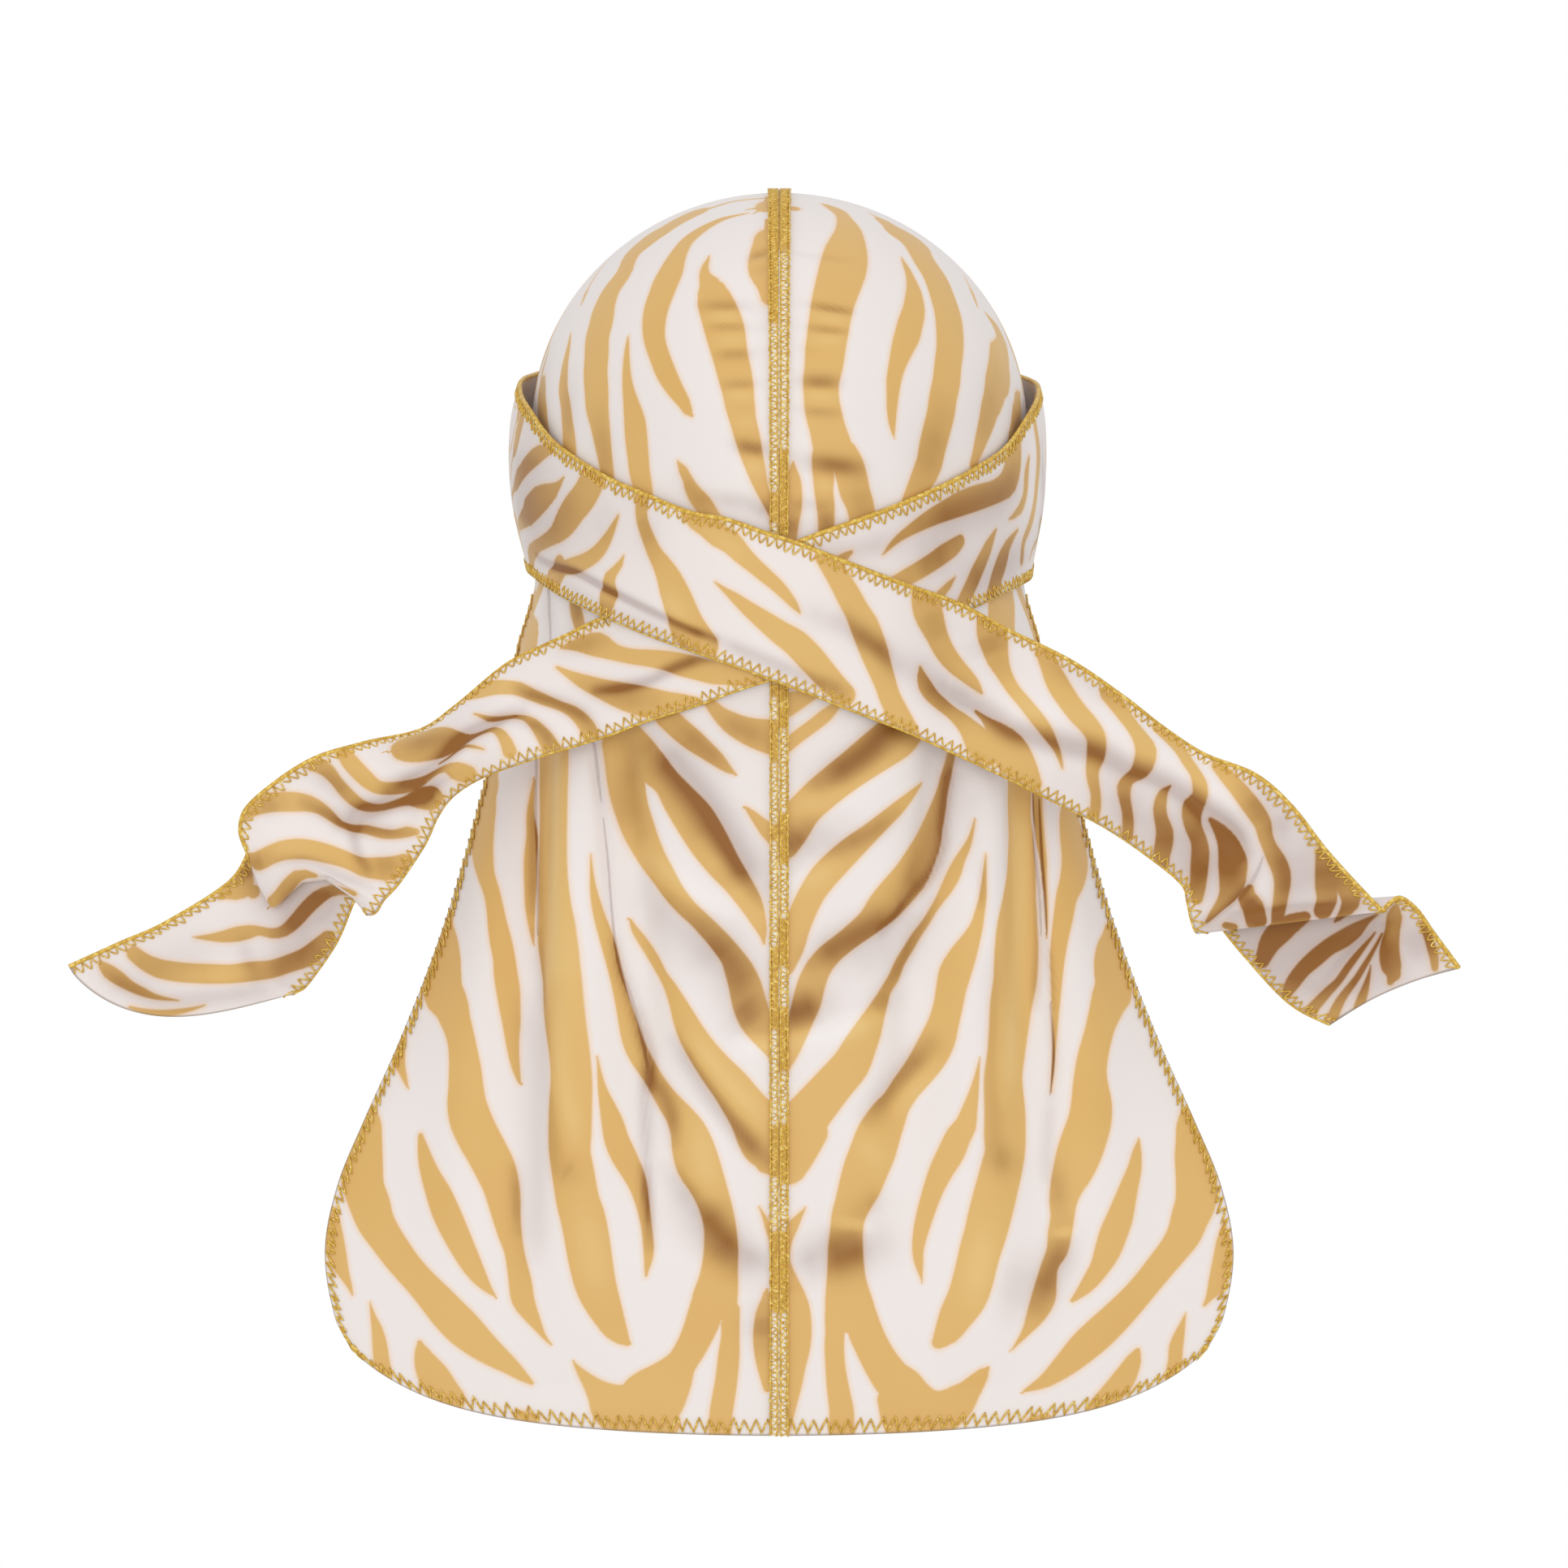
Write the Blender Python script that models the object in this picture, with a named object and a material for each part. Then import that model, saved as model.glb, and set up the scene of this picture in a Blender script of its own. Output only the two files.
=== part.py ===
# A worn durag: two cloth panels joined by a raised seam, and two long ties that wrap the head and cross behind.
# Sizes in the tables are millimetres. The origin is the middle of the head's hollow, level with its widest girth.
# +Y points to the forehead, so that the crossing, the cape and the tails are on the -Y side. +Z is up.
import math
from collections import namedtuple

import bmesh
import bpy
from mathutils import Vector

MM = 0.001

# Crown
CROWN_HALF_WIDTH = 80.5
CROWN_HALF_LENGTH = 98.0
CROWN_HEIGHT = 76.0
FRONT_EDGE_ANGLE = -6.0
NAPE_ANGLE = -34.0
TEMPLE_TURN = 72.0
TEMPLE_ANGLE = -10.0

# Cloth
CLOTH_THICKNESS = 1.0
MESH_GAP = 0.3

# Seam ridge
SEAM_HALF_WIDTH = 3.5
SEAM_PROUD = 1.2
SEAM_LOW_PROUD = 0.1
SEAM_LOW_LENGTH = 44.0
SEAM_RISE_LENGTH = 14.0
SEAM_EDGE_SHARE = 0.35
SEAM_GROOVE_SHARE = 0.8
SEAM_CREST_AT = 0.62

SEAM_INSET = SEAM_HALF_WIDTH + MESH_GAP

# Cape
NAPE_HEIGHT = CROWN_HEIGHT * math.tan(math.radians(NAPE_ANGLE))
HEM_HEIGHT = -315.5
HEM_CORNER_HEIGHT = -291.0
HEM_BOW = 9.0
HEM_CORNER_ROUND = 15.5

# How a cape fold swells and dies along its length
FOLD_ONSET = 0.7
FOLD_FULLNESS = 0.8

# Mesh steps
CROWN_ROWS = 22
CAPE_ROWS = 20
PANEL_COLUMNS = 20
TIE_COLUMNS = 6
TIE_STEP = 9.5

# The worn form below the girth: half-axes of its level sections, and how far out each cape edge lies.
FormRow = namedtuple("FormRow", "height across back cape_half")
FORM = (
    FormRow(0.0, 80.5, 98.0, 78.0),
    FormRow(-25.0, 80.2, 97.6, 78.0),
    FormRow(-51.0, 79.8, 96.4, 79.0),
    FormRow(-72.0, 85.8, 94.8, 84.4),
    FormRow(-114.0, 99.0, 94.5, 92.7),
    FormRow(-145.0, 115.0, 96.0, 101.0),
    FormRow(-173.0, 135.0, 98.0, 110.2),
    FormRow(-199.0, 162.0, 100.0, 120.2),
    FormRow(-221.0, 191.0, 102.0, 129.7),
    FormRow(-241.0, 218.0, 104.0, 137.6),
    FormRow(-261.0, 236.0, 106.0, 141.1),
    FormRow(-281.0, 245.0, 107.8, 137.7),
    FormRow(-291.0, 248.0, 108.5, 132.4),
    FormRow(-316.0, 250.0, 110.0, 120.0),
)

# Folds that run down the right half of the cape, mirrored on the left. Depth is outward, spread is to each side.
FoldRow = namedtuple("FoldRow", "top_x top_z low_x low_z depth top_spread low_spread")
CAPE_FOLDS = (
    FoldRow(8.0, -84.0, 12.0, -170.0, -2.5, 9.0, 16.0),
    FoldRow(53.0, -88.0, 35.0, -262.0, -6.0, 6.0, 12.0),
    FoldRow(65.0, -96.0, 61.0, -300.0, 5.0, 8.0, 15.0),
    FoldRow(75.0, -84.0, 80.0, -262.0, -5.0, 5.0, 11.0),
    FoldRow(86.0, -92.0, 104.0, -300.0, 3.0, 7.0, 14.0),
    FoldRow(6.0, -272.0, 46.0, -232.0, -2.0, 7.0, 9.0),
)

# Ties where they lie on the head. Turn is from the forehead round the tie's own side, lift is off the form.
WrapRow = namedtuple("WrapRow", "top_turn low_turn top_z low_z top_lift low_lift belly")
LEFT_WRAP = (
    WrapRow(0.12, 0.12, 30.0, -14.0, 1.2, 1.2, 0.0),
    WrapRow(5.0, 5.0, 30.0, -14.0, 1.2, 1.2, 0.0),
    WrapRow(15.0, 15.0, 30.0, -14.0, 1.2, 1.2, 0.0),
    WrapRow(30.0, 30.0, 29.0, -15.5, 1.3, 1.2, 0.0),
    WrapRow(46.0, 46.0, 27.0, -20.0, 1.8, 1.3, 0.5),
    WrapRow(62.0, 62.0, 23.5, -28.0, 3.2, 1.5, 1.2),
    WrapRow(77.0, 77.0, 19.0, -38.0, 4.6, 1.8, 2.4),
    WrapRow(91.0, 91.0, 15.0, -45.0, 5.0, 2.0, 3.4),
    WrapRow(100.0, 98.5, 9.5, -47.3, 4.6, 2.0, 3.2),
    WrapRow(108.3, 106.0, 3.8, -49.3, 3.8, 2.0, 2.6),
    WrapRow(120.3, 116.0, -7.8, -53.2, 2.2, 2.0, 1.4),
    WrapRow(137.2, 126.5, -19.3, -57.6, 1.5, 2.0, 0.6),
    WrapRow(149.8, 139.3, -26.4, -63.0, 1.9, 3.2, 0.2),
    WrapRow(160.8, 151.2, -32.3, -69.0, 3.2, 3.3, 0.0),
    WrapRow(168.9, 159.9, -34.6, -73.4, 3.8, 3.6, 0.0),
    WrapRow(176.6, 167.2, -38.6, -77.3, 4.1, 3.9, 0.0),
    WrapRow(183.4, 173.4, -41.8, -80.7, 4.1, 4.0, 0.0),
    WrapRow(190.3, 179.4, -45.5, -84.3, 3.9, 4.1, 0.0),
    WrapRow(198.0, 186.1, -49.6, -88.4, 3.6, 4.0, 0.0),
    WrapRow(207.3, 192.6, -54.2, -92.7, 3.6, 3.9, 0.0),
    WrapRow(216.5, 198.8, -57.9, -96.7, 3.6, 4.1, 0.0),
)
RIGHT_WRAP = (
    WrapRow(0.12, 0.12, 30.0, -14.0, 1.2, 1.2, 0.0),
    WrapRow(5.0, 5.0, 30.0, -14.0, 1.2, 1.2, 0.0),
    WrapRow(15.0, 15.0, 30.0, -14.0, 1.2, 1.2, 0.0),
    WrapRow(30.0, 30.0, 29.0, -15.5, 1.3, 1.2, 0.0),
    WrapRow(46.0, 46.0, 26.5, -20.0, 1.8, 1.3, 0.5),
    WrapRow(62.0, 62.0, 23.0, -28.0, 3.0, 1.5, 1.0),
    WrapRow(77.0, 77.0, 18.0, -38.5, 4.3, 1.8, 1.8),
    WrapRow(90.0, 90.0, 14.0, -46.5, 4.7, 2.0, 2.4),
    WrapRow(99.5, 99.0, 8.5, -49.5, 4.3, 2.0, 2.3),
    WrapRow(107.8, 107.5, 2.3, -51.5, 3.4, 2.0, 1.9),
    WrapRow(118.3, 114.6, -8.6, -53.6, 1.8, 1.8, 1.2),
    WrapRow(129.6, 120.8, -16.0, -55.6, 1.4, 1.4, 0.5),
    WrapRow(140.1, 128.1, -22.3, -58.5, 1.3, 1.3, 0.0),
    WrapRow(151.8, 142.0, -28.9, -64.6, 1.4, 1.3, 0.0),
    WrapRow(162.0, 153.4, -34.3, -70.4, 1.7, 1.5, 0.0),
    WrapRow(169.5, 161.0, -38.0, -74.2, 2.1, 1.7, 0.0),
    WrapRow(176.0, 167.7, -41.5, -77.4, 2.4, 1.9, 0.0),
    WrapRow(183.5, 175.2, -45.5, -81.0, 2.3, 2.3, 0.0),
    WrapRow(190.6, 181.6, -49.4, -83.9, 2.0, 2.4, 0.0),
    WrapRow(197.8, 188.2, -53.1, -87.2, 1.6, 2.0, 0.0),
    WrapRow(205.3, 194.9, -57.1, -91.2, 1.4, 1.7, 0.0),
    WrapRow(213.1, 200.6, -60.9, -94.1, 1.3, 2.0, 0.0),
    WrapRow(221.8, 206.4, -64.7, -97.1, 1.3, 3.0, 0.0),
)

# Ties past the crossing, where they hang free. Belly bows the middle of a section away from the head.
TailRow = namedtuple("TailRow", "top_x top_y top_z low_x low_y low_z belly")
LEFT_TAIL = (
    TailRow(59.5, -75.3, -61.6, 41.6, -90.5, -100.8, 0.3),
    TailRow(72.0, -70.5, -68.2, 51.5, -87.0, -105.3, 0.8),
    TailRow(91.5, -71.0, -77.9, 71.0, -81.0, -114.2, 1.5),
    TailRow(108.0, -70.0, -89.1, 89.0, -74.0, -123.0, 4.0),
    TailRow(120.5, -66.0, -98.6, 101.0, -76.0, -129.0, 7.0),
    TailRow(133.0, -70.0, -106.9, 114.0, -80.0, -137.8, 4.0),
    TailRow(148.3, -78.0, -113.2, 125.2, -80.0, -147.0, -2.0),
    TailRow(159.5, -82.0, -123.3, 126.8, -85.0, -152.9, -1.0),
    TailRow(170.9, -82.0, -137.9, 127.6, -87.0, -157.4, 1.0),
    TailRow(186.0, -84.0, -154.2, 129.3, -86.5, -161.9, 0.0),
    TailRow(188.6, -82.2, -154.0, 131.2, -84.7, -160.6, 0.0),
    TailRow(191.6, -80.4, -151.8, 133.0, -82.9, -156.4, 0.0),
    TailRow(194.2, -78.4, -151.7, 134.6, -80.9, -157.0, 0.0),
    TailRow(198.9, -78.0, -155.6, 145.6, -78.0, -170.2, 0.0),
    TailRow(203.5, -81.0, -162.6, 158.8, -80.0, -184.2, 3.0),
    TailRow(210.9, -86.0, -173.2, 170.9, -85.0, -190.8, -2.0),
)
RIGHT_TAIL = (
    TailRow(65.0, -66.8, -68.7, 52.0, -85.5, -100.6, 1.5),
    TailRow(74.5, -64.5, -73.0, 62.5, -82.5, -103.9, 3.5),
    TailRow(86.0, -64.0, -78.9, 76.0, -80.5, -107.9, 6.0),
    TailRow(101.6, -66.0, -91.9, 91.8, -80.0, -113.5, 10.0),
    TailRow(112.6, -70.0, -99.5, 101.3, -80.0, -119.3, 10.0),
    TailRow(130.0, -78.0, -103.6, 106.4, -80.0, -126.0, 4.0),
    TailRow(146.7, -84.0, -109.2, 110.4, -80.0, -134.7, -1.0),
    TailRow(163.4, -86.0, -121.5, 118.0, -85.0, -146.6, 0.0),
    TailRow(167.2, -85.0, -129.6, 122.6, -88.0, -151.8, 1.0),
    TailRow(165.0, -84.0, -137.0, 124.9, -88.0, -155.6, 0.0),
    TailRow(164.6, -82.2, -138.4, 127.6, -86.2, -156.2, 0.0),
    TailRow(163.4, -80.4, -134.6, 129.8, -84.4, -151.6, 0.0),
    TailRow(164.4, -78.4, -135.2, 132.2, -82.4, -152.4, 0.0),
    TailRow(171.3, -77.0, -146.6, 138.0, -79.0, -165.3, 2.0),
    TailRow(191.3, -79.0, -159.5, 146.8, -80.0, -178.1, 3.0),
    TailRow(205.0, -81.0, -165.6, 150.0, -82.0, -180.6, 1.0),
    TailRow(220.9, -82.0, -172.8, 151.5, -82.0, -181.4, 0.0),
)

# Each tie's end is cut in a bow: how far it runs past the straight line between the corners, and where it peaks
# on the way from the top corner to the low one.
LEFT_END_BOW = -2.0
LEFT_END_PEAK = 0.5
RIGHT_END_BOW = 12.0
RIGHT_END_PEAK = 0.4
END_BOW_ROWS = 3

COLOURS = {
    "left_panel": (0.84, 0.74, 0.66),
    "right_panel": (0.84, 0.74, 0.66),
    "centre_seam": (0.69, 0.48, 0.05),
    "left_tie": (0.72, 0.50, 0.24),
    "right_tie": (0.72, 0.50, 0.24),
}
SATIN_ROUGHNESS = 0.38
SEAM_ROUGHNESS = 0.55


def clear_scene():
    for old in list(bpy.data.objects):
        bpy.data.objects.remove(old, do_unlink=True)


def mix(start, end, share):
    return start + (end - start) * share


def hermite(before, start, end, after, share):
    """A smooth curve from start to end that keeps the run of the values on either side."""
    leave = (end - before) * 0.5
    arrive = (after - start) * 0.5
    square = share * share
    cube = square * share
    return (
        start * (2 * cube - 3 * square + 1)
        + leave * (cube - 2 * square + share)
        + end * (3 * square - 2 * cube)
        + arrive * (cube - square)
    )


def form_value(height, column):
    """Read one column of the form at a height, on a smooth curve through the rows."""
    last = len(FORM) - 1
    index = 0
    while index < last - 1 and FORM[index + 1].height > height:
        index += 1
    upper, lower = FORM[index], FORM[index + 1]
    share = (upper.height - height) / (upper.height - lower.height)
    share = min(max(share, 0.0), 1.0)
    slopes = []
    for k in (index, index + 1):
        a, b = FORM[max(k - 1, 0)], FORM[min(k + 1, last)]
        slopes.append((getattr(b, column) - getattr(a, column)) / (a.height - b.height))
    step = upper.height - lower.height
    start, end = getattr(upper, column), getattr(lower, column)
    square, cube = share * share, share ** 3
    return (
        start * (2 * cube - 3 * square + 1)
        + slopes[0] * step * (cube - 2 * square + share)
        + end * (3 * square - 2 * cube)
        + slopes[1] * step * (cube - square)
    )


def half_axes(height):
    if height > 0:
        level = math.sqrt(max(1.0 - (height / CROWN_HEIGHT) ** 2, 0.0))
        return CROWN_HALF_WIDTH * level, CROWN_HALF_LENGTH * level
    return form_value(height, "across"), form_value(height, "back")


def fold_lift(x, height):
    """How far the cape's folds push its face out at a place seen from behind."""
    total = 0.0
    for fold in CAPE_FOLDS:
        share = (height - fold.top_z) / (fold.low_z - fold.top_z)
        if share <= 0.0 or share >= 1.0:
            continue
        fade = math.sin(math.pi * share ** FOLD_ONSET) ** FOLD_FULLNESS
        centre = fold.top_x + (fold.low_x - fold.top_x) * share
        spread = fold.top_spread + (fold.low_spread - fold.top_spread) * share
        total += fold.depth * fade * math.exp(-(((abs(x) - centre) / spread) ** 2))
    return total


def form_point(turn, height, lift=0.0):
    """A point of the worn form, at an angle from the forehead and a height, with an optional lift off it."""
    across, back = half_axes(height)
    angle = math.radians(turn)
    x = math.sin(angle) * across
    if math.cos(angle) < 0.0:
        lift = lift + fold_lift(x, height)
    x += math.sin(angle) * lift
    y = math.cos(angle) * (back + lift)
    return Vector((x, y, height))


def crown_direction(turn, angle):
    """The unit direction at a turn from the forehead and an angle above the girth."""
    rise = math.radians(angle)
    side = math.radians(turn)
    return Vector((math.sin(side) * math.cos(rise), math.cos(side) * math.cos(rise), math.sin(rise)))


def crown_place(direction):
    """The turn and height at which a direction meets the form: an ellipsoid above, a falling wall below."""
    rise = math.asin(max(-1.0, min(1.0, direction.z)))
    turn = math.degrees(math.atan2(direction.x, direction.y))
    height = CROWN_HEIGHT * (math.sin(rise) if rise > 0.0 else math.tan(rise))
    return turn, height


def crown_row(share, inset):
    """The seam end and the outer end of one crown row, from the forehead (0) to the nape (1)."""
    along = math.radians(FRONT_EDGE_ANGLE + (180.0 - NAPE_ANGLE - FRONT_EDGE_ANGLE) * share)
    seam = Vector((inset / CROWN_HALF_WIDTH, math.cos(along), math.sin(along))).normalized()
    turn = TEMPLE_TURN + (edge_turn(NAPE_HEIGHT) - TEMPLE_TURN) * share
    angle = TEMPLE_ANGLE + (NAPE_ANGLE - TEMPLE_ANGLE) * share
    return seam, crown_direction(turn, angle)


def edge_turn(height):
    """The turn at which the cape's side edge lies."""
    across = half_axes(height)[0]
    return 180.0 - math.degrees(math.asin(form_value(height, "cape_half") / across))


def seam_turn(height):
    """The turn at which a panel's seam edge lies on the back."""
    return 180.0 - math.degrees(math.asin(SEAM_INSET / half_axes(height)[0]))


def crown_spot(share, column):
    seam, outer = crown_row(share, SEAM_INSET)
    return crown_place(seam.slerp(outer, column))


def cape_spot(share, column):
    """Turn and height on the cape: each row slides from the nape row's shape into the hem's."""
    nape_turn, nape_height = crown_spot(1.0, column)
    first_turn, last_turn = seam_turn(NAPE_HEIGHT), edge_turn(NAPE_HEIGHT)
    spread = (first_turn - nape_turn) / (first_turn - last_turn)
    hem_turn = mix(seam_turn(HEM_HEIGHT), edge_turn(HEM_CORNER_HEIGHT), spread)
    reach = math.sin(math.radians(hem_turn)) / math.sin(math.radians(edge_turn(HEM_CORNER_HEIGHT)))
    hem = HEM_HEIGHT + HEM_BOW * reach ** 2 + HEM_CORNER_ROUND * reach ** 6
    height = mix(nape_height, hem, share)
    edge_height = mix(NAPE_HEIGHT, HEM_CORNER_HEIGHT, share)
    return mix(seam_turn(height), edge_turn(edge_height), spread), height


def panel_spot(row, column):
    if row <= CROWN_ROWS:
        return crown_spot(row / CROWN_ROWS, column)
    return cape_spot((row - CROWN_ROWS) / CAPE_ROWS, column)


def panel_grid(side):
    """The outer face of a panel, in rows from the forehead to the hem, each from the seam outward."""
    grid = []
    for row in range(CROWN_ROWS + CAPE_ROWS + 1):
        points = []
        for k in range(PANEL_COLUMNS + 1):
            turn, height = panel_spot(row, k / PANEL_COLUMNS)
            point = form_point(turn, height)
            point.x *= side
            points.append(point)
        grid.append(points)
    return grid


def grid_normals(grid, outward):
    """A unit normal at each grid point, from its neighbours, turned by the sign given."""
    rows, columns = len(grid), len(grid[0])
    normals = []
    for i in range(rows):
        line = []
        for j in range(columns):
            along = grid[min(i + 1, rows - 1)][j] - grid[max(i - 1, 0)][j]
            across = grid[i][min(j + 1, columns - 1)] - grid[i][max(j - 1, 0)]
            line.append(across.cross(along).normalized() * outward)
        normals.append(line)
    return normals


def sheet_mesh(name, front, rear):
    """A closed sheet between two grids of points."""
    rows, columns = len(front), len(front[0])
    mesh = bmesh.new()
    layers = []
    for grid in (front, rear):
        layers.append([[mesh.verts.new(point * MM) for point in line] for line in grid])
    for i in range(rows - 1):
        for j in range(columns - 1):
            for k, layer in enumerate(layers):
                corners = [layer[i][j], layer[i][j + 1], layer[i + 1][j + 1], layer[i + 1][j]]
                mesh.faces.new(corners if k == 0 else corners[::-1])
    rim = [(0, j) for j in range(columns)]
    rim += [(i, columns - 1) for i in range(1, rows)]
    rim += [(rows - 1, j) for j in range(columns - 2, -1, -1)]
    rim += [(i, 0) for i in range(rows - 2, 0, -1)]
    for here, there in zip(rim, rim[1:] + rim[:1]):
        a, b = layers[0][here[0]][here[1]], layers[0][there[0]][there[1]]
        c, d = layers[1][there[0]][there[1]], layers[1][here[0]][here[1]]
        mesh.faces.new([b, a, d, c])
    return finish(name, mesh)


def finish(name, mesh):
    """Turn a closed bmesh into a smooth-shaded object with its own material."""
    bmesh.ops.triangulate(mesh, faces=mesh.faces)
    bmesh.ops.recalc_face_normals(mesh, faces=mesh.faces)
    data = bpy.data.meshes.new(name)
    mesh.to_mesh(data)
    mesh.free()
    data.shade_smooth()
    piece = bpy.data.objects.new(name, data)
    bpy.context.scene.collection.objects.link(piece)
    data.materials.append(cloth_material(name))
    return piece


def cloth_material(name):
    material = bpy.data.materials.new(name)
    material.use_nodes = True
    shader = material.node_tree.nodes["Principled BSDF"]
    shader.inputs["Base Color"].default_value = (*COLOURS[name], 1.0)
    shader.inputs["Roughness"].default_value = SEAM_ROUGHNESS if name == "centre_seam" else SATIN_ROUGHNESS
    shader.inputs["Metallic"].default_value = 0.0
    return material


def make_panel(name, side):
    """One half of the cloth, with its thickness laid inward."""
    front = panel_grid(side)
    normals = grid_normals(front, -side)
    rear = []
    for line, directions in zip(front, normals):
        points = [point - normal * CLOTH_THICKNESS for point, normal in zip(line, directions)]
        points[0].x = line[0].x
        rear.append(points)
    return sheet_mesh(name, front, rear)


def seam_profile(proud):
    """Half-rounded section of the seam, as (sideways, outward) corners."""
    half, crest = SEAM_HALF_WIDTH, SEAM_HALF_WIDTH * SEAM_CREST_AT
    edge, groove = proud * SEAM_EDGE_SHARE, proud * SEAM_GROOVE_SHARE
    return (
        (-half, -CLOTH_THICKNESS),
        (-half, edge),
        (-crest, proud),
        (0.0, groove),
        (crest, proud),
        (half, edge),
        (half, -CLOTH_THICKNESS),
    )


def make_seam():
    """The raised ridge, swept along the middle from the forehead edge to the hem."""
    path = []
    for row in range(CROWN_ROWS + CAPE_ROWS + 1):
        turn, height = 180.0, panel_spot(row, 0.0)[1]
        if row <= CROWN_ROWS:
            turn, height = crown_place(crown_row(row / CROWN_ROWS, 0.0)[0])
        path.append(form_point(turn, height))
    mesh = bmesh.new()
    rings = []
    travelled = 0.0
    for k, point in enumerate(path):
        before, after = path[max(k - 1, 0)], path[min(k + 1, len(path) - 1)]
        along = (after - before).normalized()
        outward = along.cross(Vector((1.0, 0.0, 0.0))).normalized()
        if k:
            travelled += (point - path[k - 1]).length
        rise = min(max((travelled - SEAM_LOW_LENGTH) / SEAM_RISE_LENGTH, 0.0), 1.0)
        proud = mix(SEAM_LOW_PROUD, SEAM_PROUD, rise)
        ring = []
        for sideways, lift in seam_profile(proud):
            place = point + Vector((sideways, 0.0, 0.0)) + outward * lift
            ring.append(mesh.verts.new(place * MM))
        rings.append(ring)
    for ring, following in zip(rings, rings[1:]):
        for j in range(len(ring)):
            nxt = (j + 1) % len(ring)
            mesh.faces.new([ring[j], ring[nxt], following[nxt], following[j]])
    mesh.faces.new(rings[0][::-1])
    mesh.faces.new(rings[-1])
    return finish("centre_seam", mesh)


def wrap_section(row):
    """Points across a tie where it lies on the head, from its top edge to its low edge."""
    points = []
    for k in range(TIE_COLUMNS + 1):
        t = k / TIE_COLUMNS
        lift = mix(row.top_lift, row.low_lift, t) + row.belly * math.sin(math.pi * t)
        turn = mix(row.top_turn, row.low_turn, t)
        across, back = half_axes(mix(row.top_z, row.low_z, t))
        angle = math.radians(turn)
        x, y = math.sin(angle) * (across + lift), math.cos(angle) * (back + lift)
        points.append(Vector((x, y, mix(row.top_z, row.low_z, t))))
    return points


def tail_section(row, toward):
    """Points across a free tie; its middle bows away from the head and the chord."""
    top = Vector((toward * row.top_x, row.top_y, row.top_z))
    low = Vector((toward * row.low_x, row.low_y, row.low_z))
    points = []
    for k in range(TIE_COLUMNS + 1):
        t = k / TIE_COLUMNS
        point = top.lerp(low, t)
        point.y -= row.belly * math.sin(math.pi * t)
        points.append(point)
    return points


def loft(sections):
    """A smooth grid through the sections, with steps of about one length along the tie."""
    last = len(sections) - 1
    grid = []
    for k in range(last):
        chord = max((sections[k + 1][j] - sections[k][j]).length for j in (0, TIE_COLUMNS // 2, TIE_COLUMNS))
        steps = max(1, round(chord / TIE_STEP))
        around = [sections[max(k - 1, 0)], sections[k], sections[k + 1], sections[min(k + 2, last)]]
        for step in range(steps):
            share = step / steps
            grid.append([hermite(*(s[j] for s in around), share) for j in range(TIE_COLUMNS + 1)])
    grid.append(list(sections[-1]))
    return grid


def bow_end(grid, bow, peak):
    """Push the middle of the last rows out, square to the end's chord, for an end that isn't cut straight."""
    skew = math.log(0.5) / math.log(peak)
    middle = TIE_COLUMNS // 2
    chord = (grid[-1][-1] - grid[-1][0]).normalized()
    run = grid[-1][middle] - grid[-2][middle]
    outward = (run - chord * run.dot(chord)).normalized()
    for back in range(END_BOW_ROWS):
        fade = 1.0 - back / END_BOW_ROWS
        grid[-1 - back] = [
            point + outward * bow * fade * math.sin(math.pi * (j / TIE_COLUMNS) ** skew)
            for j, point in enumerate(grid[-1 - back])
        ]
    return grid


def make_tie(name, side, wrap, tail, bow, peak):
    """A long tie, from the middle of the forehead round one side, across the back and out to its end."""
    sections = []
    for row in wrap:
        points = wrap_section(row)
        for point in points:
            point.x *= side
        sections.append(points)
    sections += [tail_section(row, -side) for row in tail]
    grid = bow_end(loft(sections), bow, peak)
    normals = grid_normals(grid, side)
    half = CLOTH_THICKNESS / 2
    front = [[p + n * half for p, n in zip(line, dirs)] for line, dirs in zip(grid, normals)]
    rear = [[p - n * half for p, n in zip(line, dirs)] for line, dirs in zip(grid, normals)]
    return sheet_mesh(name, front, rear)


def build():
    clear_scene()
    make_panel("left_panel", -1)
    make_panel("right_panel", 1)
    make_seam()
    make_tie("left_tie", -1, LEFT_WRAP, LEFT_TAIL, LEFT_END_BOW, LEFT_END_PEAK)
    make_tie("right_tie", 1, RIGHT_WRAP, RIGHT_TAIL, RIGHT_END_BOW, RIGHT_END_PEAK)


build()
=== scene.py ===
# A worn satin durag seen from behind: two cloth panels, a raised seam, and two long ties that cross at the
# nape. Lengths in the tables are millimetres, and places read off the photograph are its pixels (x, y).
import math
from collections import namedtuple

import bmesh
import bpy
import numpy as np
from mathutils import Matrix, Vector
from mathutils.bvhtree import BVHTree


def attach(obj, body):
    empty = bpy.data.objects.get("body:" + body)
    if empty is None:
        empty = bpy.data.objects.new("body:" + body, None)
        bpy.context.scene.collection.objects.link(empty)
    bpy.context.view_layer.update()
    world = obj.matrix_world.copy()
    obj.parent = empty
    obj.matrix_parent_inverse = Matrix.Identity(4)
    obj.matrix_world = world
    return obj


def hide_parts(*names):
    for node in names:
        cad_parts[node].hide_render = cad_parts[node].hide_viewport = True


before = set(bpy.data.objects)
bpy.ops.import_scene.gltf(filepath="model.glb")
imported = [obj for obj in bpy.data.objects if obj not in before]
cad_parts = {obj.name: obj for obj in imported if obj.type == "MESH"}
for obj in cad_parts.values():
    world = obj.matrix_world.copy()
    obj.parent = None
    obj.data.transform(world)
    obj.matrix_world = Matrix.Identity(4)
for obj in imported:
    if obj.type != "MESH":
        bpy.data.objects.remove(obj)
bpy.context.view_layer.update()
mm = 0.001


def addObject(name, data):
    item = bpy.data.objects.new(name, data)
    bpy.context.scene.collection.objects.link(item)
    return item


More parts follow.
